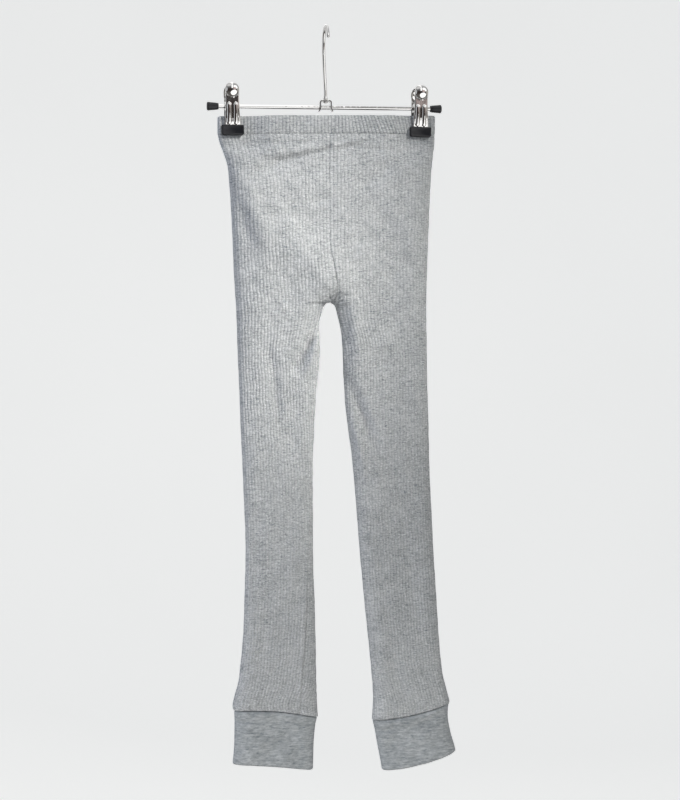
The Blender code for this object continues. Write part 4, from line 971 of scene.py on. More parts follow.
def leg_places(places, crotch, spacing):
    """Places of the fine rows: closer together at the seams and the crotch."""
    wanted, place = [places[0]], places[0]
    while True:
        near_seam = min(place - places[0], places[-1] - place)
        step = spacing * (SEAM_ROW_SHARE + (1.0 - SEAM_ROW_SHARE) * min(near_seam / SEAM_ROW_REACH, 1.0))
        for first, last, share in FINE_ROWS:
            if first < place < last:
                step = min(step, share * spacing)
        if place < crotch < place + step:
            step = crotch - place if crotch - place > 1e-5 else step
        if place + LAST_ROW_SHARE * step > places[-1]:
            break
        place += step
        wanted.append(place)
    return np.array(wanted + [places[-1]])


def bell(away, size):
    """A rounded dent or welt at a distance from its middle. `size` holds its depth and half width."""
    return size[0] * np.exp(-(away / size[1]) ** 2)


def leg_dents(side, face, section, place, first, last, crotch):
    """The inward depth of a leg's seams on one row, as a function of (x, z)."""
    level = WAIST_DENT[0] * math.exp(-(place - first) / WAIST_DENT[1])
    level += CUFF_DENT[0] * math.exp(-(last - place) / CUFF_DENT[1])
    level += bell(place - first - STITCH_DROP, COVER_DENT)
    path = INSEAM.get((side, face))

    def dent(x, z):
        total = np.full_like(x, level)
        if place < crotch:
            total += bell(x - section.inner_x, RISE_DENT)
        if path is not None:
            heights, across = zip(*path[::-1])
            away = x - np.interp(z, heights, across)
            fade = smooth((heights[-1] + INSEAM_FADE[0] - z) / INSEAM_FADE[1])
            total += fade * (bell(away, INSEAM_DENT) - bell(away + INSEAM_WELT_AWAY, INSEAM_WELT))
        return total
    return dent


def open_width(section, face):
    """Width that the ribs of a panel's front or back are spaced over, laid open."""
    z = 0.5 * (section.side_z + section.inner_z)
    heights, across = zip(*RIB_SEAM[::-1])
    spaced = section._replace(seam=1.0, inner_x=float(np.interp(z, heights, across)))
    return face_line(spaced, face, HELD_DEPTH, False, no_dent).width


def leg_lines(side, settings):
    """The fine lines of one leg: for each row its place, section, pitch and both faces' lines."""
    places, table = panel_table(side)
    crotch = float(places[len(TORSO) - 1])
    wanted = leg_places(places, crotch, settings.row_spacing)
    sections = sections_at(places, table, wanted, crotch)
    lines = []
    for place, section in zip(wanted, sections):
        faces = {}
        for face in ("front", "back"):
            dent = leg_dents(side, face, section, place, places[0], places[-1], crotch)
            faces[face] = face_line(section, face, HELD_DEPTH, False, dent)
        lines.append((float(place), section, faces))
    at_crotch = lines[int(np.argmin(np.abs(wanted - crotch)))][1]
    hip_widths = {face: open_width(at_crotch, face) for face in ("front", "back")}
    # half a rib over: the rise seam lies in a groove
    ribs = {face: int(hip_widths[face] / settings.hip_rib_pitch) + 0.5 for face in hip_widths}
    rows = []
    for place, section, faces in lines:
        closed = ribs_closed(section)
        pitches = {}
        for face in ("front", "back"):
            if place < crotch:
                pitches[face] = open_width(section, face) / ribs[face]
            else:
                widest = hip_widths[face] / ribs[face]
                pitches[face] = widest + (settings.leg_rib_pitch - widest) * closed
        rows.append((place, section, pitches, faces))
    return rows, crotch


def ribs_closed(section):
    """How far the ribs have closed up on a row: 0 over the hips, 1 down the legs."""
    z = 0.5 * (section.side_z + section.inner_z)
    return float(smooth((z - RIB_CLOSES_FROM) / (RIB_CLOSES_TO - RIB_CLOSES_FROM)))


def rib_heights(distance, phase, line, pitch, height, place):
    """Rib heights along one line: uneven by a little, and running out into the inner seam."""
    fade = np.clip((line.lengths[-1] - distance) / (RIB_END * pitch), 0.0, 1.0)
    first, second = (np.sin(by_rib * phase + down * place) for by_rib, down in RIB_SWELLS)
    share, by_rib, down = RIB_RIPPLE
    uneven = 1.0 + RIB_SWELL_SHARE * first * second + share * np.sin(by_rib * phase + down * place)
    return height * uneven * fade * rib_profile(phase)


def rib_wander(distance, line, pitch, place):
    """How far the ribs stray sideways: nothing at the folds and seams, a fraction of a rib between."""
    inside = smooth(np.minimum(distance, line.lengths[-1] - distance) / (RIB_WANDER_REACH * pitch))
    return inside * pitch * sum(share * np.sin(down * place + row * distance + phase)
                                for share, row, down, phase in RIB_WANDER)


def leg_mesh(side, settings):
    """One leg's panel: open along the rise seam, and a closed tube below the crotch."""
    rows, crotch = leg_lines(side, settings)
    ribs = 1 + int(max(row[3][face].lengths[-1] / row[2][face] for row in rows for face in row[3]))
    phase = np.arange(ribs * COLUMNS + 1) / COLUMNS
    width, inner_width = len(phase), ribs + 1
    points, maps, faces = [], [], []
    starts = {}
    for face, sign in (("front", -1.0), ("back", 1.0)):
        for layer in ("outer", "inner"):
            starts[face, layer] = len(points)
            for place, section, pitches, lines in rows:
                line, pitch = lines[face], pitches[face]
                steps = phase if layer == "outer" else phase[::COLUMNS]
                distance = steps * pitch
                base, normals = along(line, distance + rib_wander(distance, line, pitch, place))
                if layer == "outer":
                    share = HIP_RIB_SHARE + (1.0 - HIP_RIB_SHARE) * ribs_closed(section)
                    heights = rib_heights(distance, steps, line, pitch, settings.rib_height * share, place)
                else:
                    heights = np.full_like(steps, -LEG_WALL)
                made = knitted(base, normals, heights)
                made[0, 1] = 0.0
                points += made.tolist()
                maps += [(sign * step, -place) for step in steps]
            faces += grid_faces(len(rows), width if layer == "outer" else inner_width, starts[face, layer])
    for face in ("front", "back"):
        outer, inner = starts[face, "outer"], starts[face, "inner"]
        for row in (0, len(rows) - 1):
            one, two = outer + row * width, inner + row * inner_width
            for rib in range(ribs):
                crest = [one + rib * COLUMNS + step for step in range(COLUMNS + 1)]
                faces.append(crest + [two + rib + 1, two + rib])
        for row in range(len(rows) - 1):
            if rows[row][0] > crotch - 1e-6:
                break
            one, two = outer + (row + 1) * width - 1, inner + (row + 1) * inner_width - 1
            faces.append((one, one + width, two + inner_width, two))
    return mesh_of("leg_" + side + "_knit", points, faces, maps), rows


def stitch_part(line, pitch, rib, height):
    """One visible cover stitch: a short thread over the crest of a rib."""
    spots = np.linspace(-1.0, 1.0, 5)
    base, normals = along(line, (rib + spots * STITCH_REACH) * pitch)
    lift = height * (STITCH_LIFT[0] + STITCH_LIFT[1] * (1.0 - spots ** 2)) - STITCH_SINK
    return tube(knitted(base, normals, lift), THREAD_RADIUS, THREAD_SIDES)


# ---------------------------------------------------------------- cuffs and waistband
def plain_shell(name, table, wall):
    """A closed tube of plain jersey, folded double at the hem."""
    places = -0.5 * (table[:, 1] + table[:, 3])
    first, last = float(places[0]), float(places[-1])
    wanted = np.linspace(first, last, int((last - first) / CUFF_ROW) + 1)
    rows = list(zip(wanted, sections_at(places, table, wanted)))
    points, maps = [], []
    for layer in ("outer", "inner"):
        for place, section in rows if layer == "outer" else rows[::-1]:
            rim = min(place - first, last - place)
            roll = 0.5 * wall * (1.0 - float(rounding(rim, 0.5 * wall)))
            ring, spots = [], []
            for face in ("front", "back"):
                line = face_line(section, face, HELD_DEPTH, False, no_dent)
                distance = line.lengths[-1] * np.arange(CUFF_COLUMNS + 1) / CUFF_COLUMNS
                base, normals = along(line, distance)
                inset = roll if layer == "outer" else wall - roll
                made = knitted(base, normals, np.full(len(distance), -inset))
                made[0, 1] = made[-1, 1] = 0.0
                if face == "back":
                    made, distance = made[::-1][1:-1], 2.0 * line.lengths[-1] - distance[::-1][1:-1]
                ring += made.tolist()
                spots += [(run / WALE_WIDTH, -place) for run in distance]
            points += ring
            maps += spots
    return mesh_of(name, points, closed_faces(2 * len(rows), 2 * CUFF_COLUMNS), maps)


def cuff_mesh(side):
    """One cuff, from just under the leg's last row to the hem."""
    seam = LEGS[side][-1]
    rows = [(seam[0], seam[1] - CUFF_GAP, seam[2], seam[3] - CUFF_GAP) + seam[4:]] + list(CUFFS[side])
    table = np.array([row[:6] + (0.0, 0.0) + row[6:] for row in rows])
    return plain_shell("cuff_" + side + "_jersey", table, CUFF_WALL)


def band_section(drop):
    """The waistband's section at a share of its height below the top edge."""
    places = np.array([row[0] for row in BAND_DEPTHS])
    depths = np.array([row[1] for row in BAND_DEPTHS])
    depth = float(monotone_curve(places, depths, np.array([drop]))[0])
    ends = []
    for x in (BAND_RIGHT_END, BAND_LEFT_END):
        top = BAND_TOP_Z + BAND_TOP_SLOPE * x
        bottom = BAND_BOTTOM_Z + BAND_BOTTOM_SLOPE * x
        ends.append(top + (bottom - top) * drop)
    return Section(BAND_RIGHT_END, ends[0], BAND_LEFT_END, ends[1], depth, depth, 0.0, 1.0, 0.0, 0.0)


def band_profile():
    """The band's wall in section, once round: (share of the height, depth below the outside, rib share)."""
    height = BAND_TOP_Z - BAND_BOTTOM_Z
    roll = BAND_WALL / 2.0
    profile = [(1.0 - BAND_HEM[0] / height * (1 - share), BAND_HEM[1] * share ** 2, 1.0 - 0.3 * share)
               for share in (1.0, 0.5, 0.0)]
    profile += [(drop, 0.0, 1.0) for drop in np.linspace(0.90, roll / height + 0.02, 10)]
    for step in range(BAND_ROLL_STEPS + 1):
        angle = math.pi * step / BAND_ROLL_STEPS
        profile.append((roll / height * (1.0 - math.sin(angle)), roll * (1.0 - math.cos(angle)),
                        0.8 if 2 * step <= BAND_ROLL_STEPS else 0.6))
    profile += [(drop, BAND_WALL, 0.5) for drop in np.linspace(roll / height + 0.05, 0.97, 6)]
    profile.append((1.0, BAND_WALL - BAND_INNER_HEM, 0.3))
    return profile


def band_mesh(settings):
    """The waistband: a folded band in a ring, squeezed flat at both clips."""
    ribs = round(2.0 * (BAND_LEFT_END - BAND_RIGHT_END) / settings.hip_rib_pitch)
    columns = ribs * COLUMNS
    phase = np.arange(columns) / COLUMNS
    points, maps = [], []
    profile = band_profile()
    for drop, inset, rib_share in profile:
        section = band_section(drop)
        front = face_line(section, "front", HELD_DEPTH, True, no_dent)
        back = face_line(section, "back", HELD_DEPTH, True, no_dent)
        ring_points = np.concatenate((front.points, back.points[::-1][1:]))
        ring_normals = np.concatenate((front.normals, back.normals[::-1][1:]))
        ring_normals[0] = ring_normals[-1] = (-1.0, 0.0)
        ring_normals[len(front.points) - 1] = (1.0, 0.0)
        lengths = run_of(ring_points[:, 0], ring_points[:, 1])
        ring = Line(ring_points, ring_normals, lengths, lengths[-1])
        distance = phase / ribs * lengths[-1]
        place = BAND_RIGHT_END + distance
        lean = smooth(1.0 - np.abs(place - BAND_LEAN_MIDDLE) / BAND_LEAN_REACH)
        shift = np.where(distance < front.lengths[-1], BAND_RIB_LEAN * lean * (drop - 0.5), 0.0)
        base, normals = along(ring, distance + shift)
        share, one, other = BAND_RIB_SWELL
        swell = share * np.sin(one * phase) * np.sin(other * phase)
        uneven = BAND_RIB_SHARE + swell + BAND_RIB_PROUD * lean
        heights = settings.rib_height * rib_share * uneven * rib_profile(phase) - inset
        points += knitted(base, normals, heights).tolist()
        maps += [(step, BAND_MAP[0] + BAND_MAP[1] * drop + inset) for step in phase]
    return mesh_of("waistband_knit", points, closed_faces(len(profile), columns), maps)


# ---------------------------------------------------------------- the hanger
def bar_frame():
    """The bar's own frame: X runs along it."""
    return Matrix.Translation((0.0, 0.0, BAR_Z)) @ Matrix.Rotation(BAR_TILT, 4, "Y")


def clip_frame(side):
    """A clip's own frame: X along the bar, Z up its plates."""
    on_bar = bar_frame() @ Matrix.Translation((CLIP_X[side], 0.0, 0.0))
    return on_bar @ Matrix.Rotation(CLIP_LEAN[side], 4, "Y")


def hook_part():
    """The hook's wire from its foot to its tip."""
    reach = HOOK_INNER_RADIUS + WIRE_RADIUS
    route = [(0.0, STIRRUP_TOP + HOOK_FOOT_GAP + height, radius) for height, radius in HOOK_FOOT]
    line = list(SHANK)
    for step in range(HOOK_BEND_STEPS + 1):
        angle = HOOK_BACK_ANGLE + (HOOK_TIP_ANGLE - HOOK_BACK_ANGLE) * step / HOOK_BEND_STEPS
        side = HOOK_BACK_REACH if angle > 0.0 else reach
        line.append((side * math.sin(angle), reach * math.cos(angle) - HOOK_INNER_RADIUS))
    line = np.array(line)
    lengths = np.concatenate(([0.0], np.cumsum(np.linalg.norm(np.diff(line, axis=0), axis=1))))
    wanted = np.linspace(0.0, lengths[-1], HOOK_RINGS)
    ys, zs = (monotone_curve(lengths, line[:, axis], wanted) for axis in (0, 1))
    route += [(y, z, WIRE_RADIUS) for y, z in zip(ys, zs)]
    end_y, end_z = ys[-1], zs[-1]
    for angle in HOOK_TIP_ROUND:
        turn = math.radians(angle)
        ahead = WIRE_RADIUS * math.sin(turn)
        route.append((end_y - math.cos(HOOK_TIP_ANGLE) * ahead, end_z + math.sin(HOOK_TIP_ANGLE) * ahead,
                      WIRE_RADIUS * math.cos(turn)))
    return tube([(0.0, y, z) for y, z, radius in route], [row[2] for row in route], WIRE_SIDES)


def rivet_part():
    """The hook's wire through the stirrup, and its riveted head below the plate."""
    rows = [(STIRRUP_TOP + RIVET_TOP, WIRE_RADIUS)]
    rows += [(STIRRUP_TOP - STIRRUP_SHEET - below, radius) for below, radius in RIVET]
    return tube([(0.0, 0.0, z) for z, radius in rows], [row[1] for row in rows], WIRE_SIDES)


def stirrup_part():
    """A strip with rounded edges, bent to an upside-down U with splayed feet. The bar runs through it."""
    top, bottom = STIRRUP_TOP - BAR_Z, STIRRUP_BOTTOM - BAR_Z
    thick, deep, edge = STIRRUP_SHEET / 2.0, STIRRUP_DEPTH / 2.0, STIRRUP_EDGE
    half, bend = STIRRUP_HALF_WIDTH - thick, STIRRUP_BEND - thick
    path = [(STIRRUP_FOOT_HALF_WIDTH - thick, bottom)]
    path += [(half + out, bottom + height) for height, out in STIRRUP_SPLAY]
    path.append((half, top - STIRRUP_BEND))
    for step in range(1, STIRRUP_BEND_STEPS + 1):
        angle = math.radians(90.0 * step / STIRRUP_BEND_STEPS)
        path.append((half - bend * (1.0 - math.cos(angle)), top - thick - bend * (1.0 - math.sin(angle))))
    path += [(STIRRUP_FLAT, path[-1][1]), (0.0, path[-1][1])]
    path += [(-x, z) for x, z in path[-2::-1]]
    rim = [(thick, deep - edge), (thick - edge, deep), (edge - thick, deep), (-thick, deep - edge),
           (-thick, edge - deep), (edge - thick, -deep), (thick - edge, -deep), (thick, edge - deep)]
    points = []
    for number, (x, z) in enumerate(path):
        ahead = path[min(number + 1, len(path) - 1)]
        behind = path[max(number - 1, 0)]
        step = Vector((ahead[0] - behind[0], ahead[1] - behind[1])).normalized()
        for out, y in rim:
            points.append(Vector((x + step.y * out, y, z - step.x * out)))
    return points, capped_faces(len(path), len(rim))


def cap_profile():
    """A bar cap in section: the bore for the bar, a shallow collar, a body that flares out, a rounded end."""
    inside = BAR_RADIUS + CAP_CLEARANCE[0]
    bore = BAR_HALF_LENGTH + CAP_CLEARANCE[1] - CAP_START
    rows = ((bore, 0.0), (bore, inside), (0.0, inside)) + CAP_OUTSIDE
    return [(CAP_START + away, radius) for away, radius in rows]


def plate_parts(nest):
    """One pressed half of a clip, in its own frame with Y outwards: thumb dome, neck, two long flutes and
    turned-back edges, and its two ears."""
    rows = np.array(PLATE)[::-1]
    heights = np.concatenate([np.linspace(*part) for part in PLATE_ROWS])
    halves = monotone_curve(rows[:, 0], rows[:, 1], heights)
    bases = monotone_curve(rows[:, 0], rows[:, 2], heights)
    steps = np.linspace(-1.0, 1.0, PLATE_COLUMNS)
    turn = PLATE_TURN * np.maximum(0.0, (np.abs(steps) - PLATE_TURN_FROM) / (1.0 - PLATE_TURN_FROM)) ** 2
    outer, inner = [], []
    for z, half, base in zip(heights, halves, bases):
        x = steps * half
        dome = raised(np.hypot(x, z - DOME_Z), DOME_RADIUS, DOME_HEIGHT)
        reach = np.hypot(np.abs(x) - FLUTE_X, max(z - FLUTE_TOP, FLUTE_BOTTOM - z, 0.0))
        y = base + dome + raised(reach, FLUTE_HALF_WIDTH, FLUTE_HEIGHT) - turn
        edge, level, narrow = base - FLANGE, np.full_like(x, z), half - SHEET
        outer.append([(-half, edge, z)] + list(zip(x, y, level)) + [(half, edge, z)])
        inside = np.clip(x, -narrow, narrow)
        inner.append([(-narrow, edge, z)] + list(zip(inside, y - SHEET, level)) + [(narrow, edge, z)])
    columns = len(outer[0])
    points = [point for row in outer for point in row] + [point for row in inner for point in row]
    start = len(outer) * columns
    faces = grid_faces(len(outer), columns) + grid_faces(len(inner), columns, start)
    for row in range(len(outer) - 1):
        for column in (0, columns - 1):
            one, two = row * columns + column, start + row * columns + column
            faces.append((one, one + columns, two + columns, two))
    for row in (0, len(outer) - 1):
        for column in range(columns - 1):
            one, two = row * columns + column, start + row * columns + column
            faces.append((one, one + 1, two + 1, two))
    return [(points, faces)] + [ear_part(sign * (EAR_X - nest)) for sign in (-1.0, 1.0)]


def raised(away, radius, height):
    """Height of a pressed form with a round section, at a distance from its middle."""
    return height * np.sqrt(np.maximum(0.0, 1.0 - (away / radius) ** 2))


def ear_part(x):
    """The lug at one edge of a clip half, with the hole for the bar."""
    points, sides = [], EAR_SIDES
    inward = -1.0 if x > 0.0 else 1.0
    for depth in (0.0, SHEET):
        for ring in ("hole", "rim"):
            for side in range(sides):
                angle = 2.0 * math.pi * side / sides
                y, z = math.cos(angle), math.sin(angle)
                if ring == "hole":
                    y, z = EAR_HOLE_RADIUS * y, EAR_HOLE_RADIUS * z
                else:
                    y, z = EAR_RADIUS * y, EAR_RADIUS * z
                    if y > 0.0:
                        y = (EAR_BASE - SHEET) * min(1.0, y / (EAR_WIDENS * EAR_RADIUS))
                points.append(Vector((x + inward * depth, y, z)))
    faces = []
    near_hole, near_rim, far_hole, far_rim = (ring * sides for ring in range(4))
    for side in range(sides):
        after = (side + 1) % sides
        for one, two in ((near_hole, near_rim), (far_hole, far_rim),
                         (near_hole, far_hole), (near_rim, far_rim)):
            faces.append((one + side, one + after, two + after, two + side))
    return points, faces


def pad_part():
    """A rubber jaw pad with a bevelled face and a shallow panel, in its clip's frame with Y outwards."""
    def outline(inset):
        corners = ((1, -1, JAW_CORNER), (1, 1, JAW_TOP_CORNER), (-1, 1, JAW_TOP_CORNER), (-1, -1, JAW_CORNER))
        made = []
        for right, up, radius in corners:
            turn = max(radius - inset, PAD_LEAST_CORNER)
            x = right * (JAW_HALF_WIDTH - inset - turn)
            z = (JAW_TOP - inset if up > 0 else JAW_BOTTOM + inset) - up * turn
            for step in range(7):
                angle = math.atan2(up, right) + math.radians(90.0) * (step / 6.0 - 0.5)
                made.append((x + turn * math.cos(angle), z + turn * math.sin(angle)))
        return made
    points = []
    for inset, y in PAD_LEVELS:
        points += [Vector((x, y, z)) for x, z in outline(inset)]
    return points, capped_faces(len(PAD_LEVELS), len(outline(0.0)))


def coil_part(settings):
    """A clip's coil spring round the bar, with its tail up the back plate."""
    wire = settings.coil_wire / 2.0
    radius, half = SPRING_RADIUS - wire, SPRING_HALF_LENGTH - wire
    turns = settings.coil_turns
    steps = turns * COIL_STEPS
    route = [(-half, radius + away, height) for away, height in SPRING_TAIL]
    for step in range(steps + 1):
        angle = 2.0 * math.pi * turns * step / steps
        route.append((-half + 2.0 * half * step / steps, radius * math.cos(angle), -radius * math.sin(angle)))
    return tube(route, wire, COIL_SIDES)


# ---------------------------------------------------------------- operators
FINISHES = {}


def finish_of(name):
    """A material of the set, made when it is first asked for."""
    if name in FINISHES:
        return FINISHES[name]
    leggings, hanger = bpy.context.scene.leggings, bpy.context.scene.hanger
    if name == "rib_knit":
        yarns = tuple(leggings.dark_yarn), tuple(leggings.grey_yarn), tuple(leggings.pale_yarn)
        made = knit_material("cotton_melange_rib_knit", yarns, fleck=0.0015, level_share=0.45,
                             nub_share=0.60, wale=2.0, course=0.0013, ribbed=True)
    elif name == "plain_jersey":
        yarns = linear("#8f9598"), linear("#abafb1"), linear("#c8cbcc")
        made = knit_material("cotton_melange_plain_jersey", yarns, fleck=0.0024, level_share=0.62,
                             nub_share=0.10, wale=1.0, course=0.0011, ribbed=False)
    elif name == "thread":
        made = thread_material(tuple(leggings.thread))
    elif name == "chrome":
        made = chrome_material(tuple(hanger.chrome))
    elif name == "spring":
        made = spring_material(tuple(hanger.spring))
    else:
        made = rubber_material(tuple(hanger.rubber))
    FINISHES[name] = made
    return made


class LEGGINGS_OT_waistband(Operator):
    """Knit the waistband and fold it over its elastic"""
    bl_idname = "leggings.waistband"
    bl_label = "Waistband"

    def execute(self, context):
        settings = context.scene.leggings
        mesh = band_mesh(settings)
        piece = finished_piece("waistband_knit", mesh, "rib_knit", "waistband", sharp=0)
        return {"FINISHED"}


class LEGGINGS_OT_legs(Operator):
    """Cut and sew the two leg panels with their cover stitches"""
    bl_idname = "leggings.legs"
    bl_label = "Legs"

    def execute(self, context):
        settings = context.scene.leggings
        for side in ("right", "left"):
            mesh, rows = leg_mesh(side, settings)
            node = "leg_" + side
            piece = finished_piece(node + "_knit", mesh, "rib_knit", node, sharp=0)
            first = rows[0][0]
            row = min(rows, key=lambda one: abs(one[0] - first - STITCH_DROP))
            parts = []
            for face in ("front", "back"):
                count = int(row[3][face].lengths[-1] / row[2][face])
                for rib in range(1, count + 1):
                    parts.append(stitch_part(row[3][face], row[2][face], rib, settings.rib_height))
            name = "cover_stitches_" + side
            stitches = finished_piece(name, joined(name, parts), "thread", sharp=0)
        return {"FINISHED"}


class LEGGINGS_OT_cuffs(Operator):
    """Fold and sew on the two plain cuffs"""
    bl_idname = "leggings.cuffs"
    bl_label = "Cuffs"

    def execute(self, context):
        for side in ("right", "left"):
            node = "cuff_" + side
            mesh = cuff_mesh(side)
            piece = finished_piece(node + "_jersey", mesh, "plain_jersey", node, sharp=0)
        return {"FINISHED"}


class HANGER_OT_hook(Operator):
    """Bend the hook and the stirrup that carries it"""
    bl_idname = "hanger.hook"
    bl_label = "Hook and stirrup"

    def execute(self, context):
        mesh = joined("hook_wire", [hook_part(), rivet_part()])
        finished_piece("hook_wire", mesh, "chrome", "hook")
        mesh = joined("stirrup_strip", [placed(stirrup_part(), bar_frame())])
        finished_piece("stirrup_strip", mesh, "chrome", "stirrup", sharp=40)
        return {"FINISHED"}


class HANGER_OT_bar(Operator):
    """Cut the bar and press its two caps on"""
    bl_idname = "hanger.bar"
    bl_label = "Bar and caps"

    def execute(self, context):
        profile = [(-BAR_HALF_LENGTH, 0.0), (-BAR_HALF_LENGTH, BAR_RADIUS - BAR_EDGE),
                   (BAR_EDGE - BAR_HALF_LENGTH, BAR_RADIUS)]
        profile += [(x, BAR_RADIUS) for x in np.linspace(-0.1, 0.1, 21)]
        profile += [(-x, radius) for x, radius in profile[2::-1]]
        mesh = joined("bar_rod", [placed(turned(profile), bar_frame())])
        finished_piece("bar_rod", mesh, "chrome", "bar")
        for side, turn in (("right", math.pi), ("left", 0.0)):
            matrix = bar_frame() @ Matrix.Rotation(turn, 4, "Z")
            node = "bar_cap_" + side
            mesh = joined(node + "_rubber", [placed(turned(cap_profile()), matrix)])
            finished_piece(node + "_rubber", mesh, "rubber", node, sharp=60)
        return {"FINISHED"}


class HANGER_OT_clips(Operator):
    """Press the clips, wind their springs and mould their jaw pads"""
    bl_idname = "hanger.clips"
    bl_label = "Clips"

    def execute(self, context):
        for side in ("right", "left"):
            base = clip_frame(side)
            for face, turn, nest in (("front", math.pi, 0.0), ("back", 0.0, EAR_NEST)):
                matrix = base @ Matrix.Rotation(turn, 4, "Z")
                node = "clip_" + side + "_" + face
                mesh = joined(node + "_plate", [placed(part, matrix) for part in plate_parts(nest)])
                finished_piece(node + "_plate", mesh, "chrome", node, sharp=42)
                node = "clip_" + side + "_pad_" + face
                mesh = joined(node + "_rubber", [placed(pad_part(), matrix)])
                finished_piece(node + "_rubber", mesh, "rubber", node, sharp=60)
            node = "clip_" + side + "_spring"
            mesh = joined(node + "_coil", [placed(coil_part(context.scene.hanger), base)])
            finished_piece(node + "_coil", mesh, "spring", node)
        return {"FINISHED"}


class LEGGINGS_OT_stage(Operator):
    """Set up the sweep, the soft lights and the camera"""
    bl_idname = "leggings.stage"
    bl_label = "Stage"

    def execute(self, context):
        settings = context.scene.stage
        make_sweep(settings)
        make_world(context.scene)
        for lamp in LAMPS:
            add_light(settings, *lamp)
        camera = bpy.data.cameras.new("camera")
        camera.lens = settings.lens
        camera.sensor_width = SENSOR_WIDTH
        seen_by = bpy.data.objects.new("camera", camera)
        context.collection.objects.link(seen_by)
        seen_by.location = CAMERA_PLACE
        seen_by.rotation_euler = [math.radians(angle) for angle in CAMERA_TURN]
        context.scene.camera = seen_by
        return {"FINISHED"}


def make_sweep(settings):
    """A pale floor that sweeps up all round into a wall, far from the leggings. Lamps don't bounce off it."""
    flat = SWEEP_RADIUS - SWEEP_BEND
    profile = [(0.0, FLOOR_Z), (SWEEP_INNER, FLOOR_Z), (flat, FLOOR_Z)]
    for step in range(1, SWEEP_BEND_STEPS + 1):
        angle = math.radians(90.0 * step / SWEEP_BEND_STEPS)
        profile.append((flat + SWEEP_BEND * math.sin(angle), FLOOR_Z + SWEEP_BEND * (1.0 - math.cos(angle))))
    profile.append((SWEEP_RADIUS, SWEEP_TOP))
    points = []
    for radius, z in profile:
        for side in range(SWEEP_SIDES):
            angle = 2.0 * math.pi * side / SWEEP_SIDES
            points.append((radius * math.cos(angle), radius * math.sin(angle), z))
    mesh = mesh_of("sweep", points, grid_faces(len(profile), SWEEP_SIDES, ring=True))
    mesh.shade_smooth()
    sweep = bpy.data.objects.new("sweep", mesh)
    bpy.context.collection.objects.link(sweep)
    mesh.materials.append(paint_material(tuple(settings.backdrop)))
    sweep.visible_glossy = False
    sweep.visible_diffuse = False


def make_world(scene):
    """Soft light from all round. Polished metal mirrors a dim room with a pale ceiling, a pale wall behind,
    a door frame and a few windows."""
    world = bpy.data.worlds.new("studio")
    scene.world = world
    world.use_nodes = True
    tree = world.node_tree
    background = tree.nodes["Background"]
    way = add_node(tree, "ShaderNodeTexCoord").outputs["Generated"]
    split = add_node(tree, "ShaderNodeSeparateXYZ", inputs={"Vector": way})
    upwards = add_node(tree, "ShaderNodeMapRange", inputs={
        "Value": split.outputs["Z"], "From Min": -1.0, "From Max": 1.0}).outputs[0]
    height = add_node(tree, "ShaderNodeValToRGB", inputs={"Fac": upwards})
    ramp_colours(height, ROOM)
    # what is painted over the room: the edges of each patch, as (value, outside, inside), and its colour
    x, y, z = (split.outputs[axis] for axis in ("X", "Y", "Z"))
    patches = [([(y,) + BACK_WALL], BACK_WALL_COLOUR),
               ([(x, DOOR[0], DOOR[1]), (x, DOOR[3], DOOR[2]), (z, DOOR[4], DOOR[5])], DOOR_COLOUR)]
    for place, outside, inside, colour in WINDOWS:
        cosine = add_node(tree, "ShaderNodeVectorMath", {"operation": "DOT_PRODUCT"}, {
            0: way, 1: tuple(Vector(place).normalized())}).outputs["Value"]
        patches.append(([(cosine, outside, inside)], colour))
    mirrored = height.outputs["Color"]
    for edges, colour in patches:
        share = 1.0
        for value, outside, inside in edges:
            within = add_node(tree, "ShaderNodeMapRange", {"interpolation_type": "SMOOTHSTEP"}, {
                "Value": value, "From Min": outside, "From Max": inside}).outputs[0]
            share = add_node(tree, "ShaderNodeMath", {"operation": "MULTIPLY"}, {
                0: share, 1: within}).outputs[0]
        mirrored = add_node(tree, "ShaderNodeMix", {"data_type": "RGBA"}, {
            "Factor": share, "A": mirrored, "B": colour + (1.0,)}).outputs["Result"]
    path = add_node(tree, "ShaderNodeLightPath")
    plain = add_node(tree, "ShaderNodeMix", {"data_type": "RGBA"}, {
        "Factor": path.outputs["Is Camera Ray"], "A": AIR, "B": BACKGROUND}).outputs["Result"]
    colour = add_node(tree, "ShaderNodeMix", {"data_type": "RGBA"}, {
        "Factor": path.outputs["Is Glossy Ray"], "A": plain, "B": mirrored}).outputs["Result"]
    fill_inputs(tree, background, {"Color": colour})


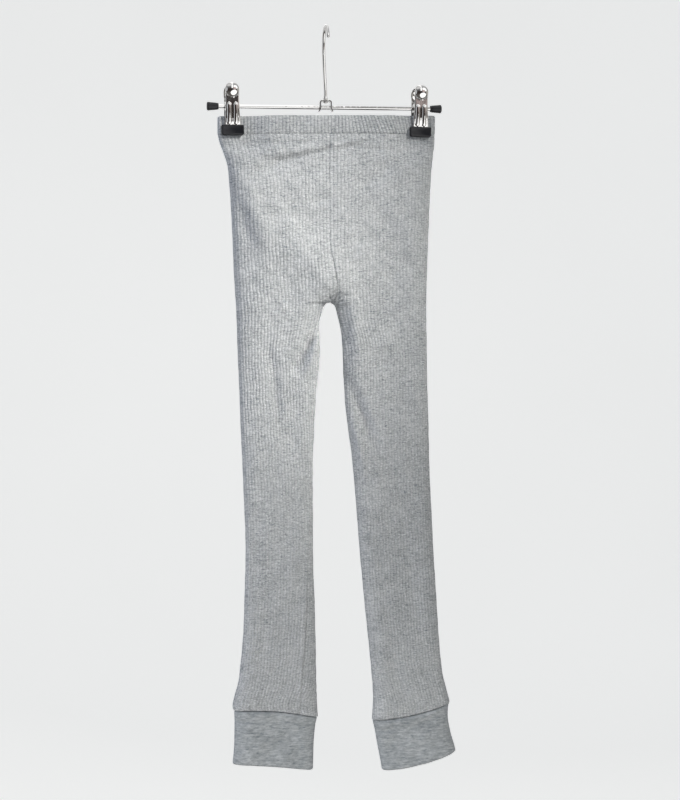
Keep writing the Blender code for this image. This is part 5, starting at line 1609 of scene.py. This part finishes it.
def add_light(settings, name, place, aim, width, height, power, share, spread, colour):
    """One soft area light, pointed at a place. A narrow spread is that of a grid before it. Polished metal
    mirrors the studio's windows instead of the lamps."""
    lamp = bpy.data.lights.new(name, "AREA")
    lamp.shape = "RECTANGLE"
    lamp.size = width
    lamp.size_y = height
    lamp.energy = share * getattr(settings, power)
    lamp.color = linear(colour)[:3]
    lamp.spread = math.radians(spread)
    holder = bpy.data.objects.new(name, lamp)
    bpy.context.collection.objects.link(holder)
    holder.location = place
    holder.rotation_euler = (Vector(aim) - Vector(place)).to_track_quat("-Z", "Y").to_euler()
    holder.visible_camera = False
    holder.visible_glossy = False


class LEGGINGS_PT_build(Panel):
    """Lists the pieces and their settings"""
    bl_idname = "LEGGINGS_PT_build"
    bl_label = "Leggings"
    bl_space_type = "VIEW_3D"
    bl_region_type = "UI"
    bl_category = "Leggings"

    def draw(self, context):
        layout = self.layout
        for name in ("leggings", "hanger", "stage"):
            settings = getattr(context.scene, name)
            box = layout.box()
            for entry in settings.__annotations__:
                box.prop(settings, entry)
        for operator in OPERATORS:
            layout.operator(operator.bl_idname)


OPERATORS = (LEGGINGS_OT_waistband, LEGGINGS_OT_legs, LEGGINGS_OT_cuffs, HANGER_OT_hook, HANGER_OT_bar,
             HANGER_OT_clips, LEGGINGS_OT_stage)
CLASSES = (LeggingsSettings, HangerSettings, StageSettings) + OPERATORS + (LEGGINGS_PT_build,)


def register():
    """Register all classes and attach the settings to the scene."""
    for one in CLASSES:
        bpy.utils.register_class(one)
    bpy.types.Scene.leggings = PointerProperty(type=LeggingsSettings)
    bpy.types.Scene.hanger = PointerProperty(type=HangerSettings)
    bpy.types.Scene.stage = PointerProperty(type=StageSettings)


def unregister():
    """Take everything off again."""
    del bpy.types.Scene.stage
    del bpy.types.Scene.hanger
    del bpy.types.Scene.leggings
    for one in reversed(CLASSES):
        bpy.utils.unregister_class(one)


def main():
    """Build every piece."""
    register()
    bpy.context.scene.view_settings.view_transform = "Standard"
    bpy.ops.leggings.waistband()
    bpy.ops.leggings.legs()
    bpy.ops.leggings.cuffs()
    bpy.ops.hanger.hook()
    bpy.ops.hanger.bar()
    bpy.ops.hanger.clips()
    bpy.ops.leggings.stage()


if __name__ == "__main__":
    main()
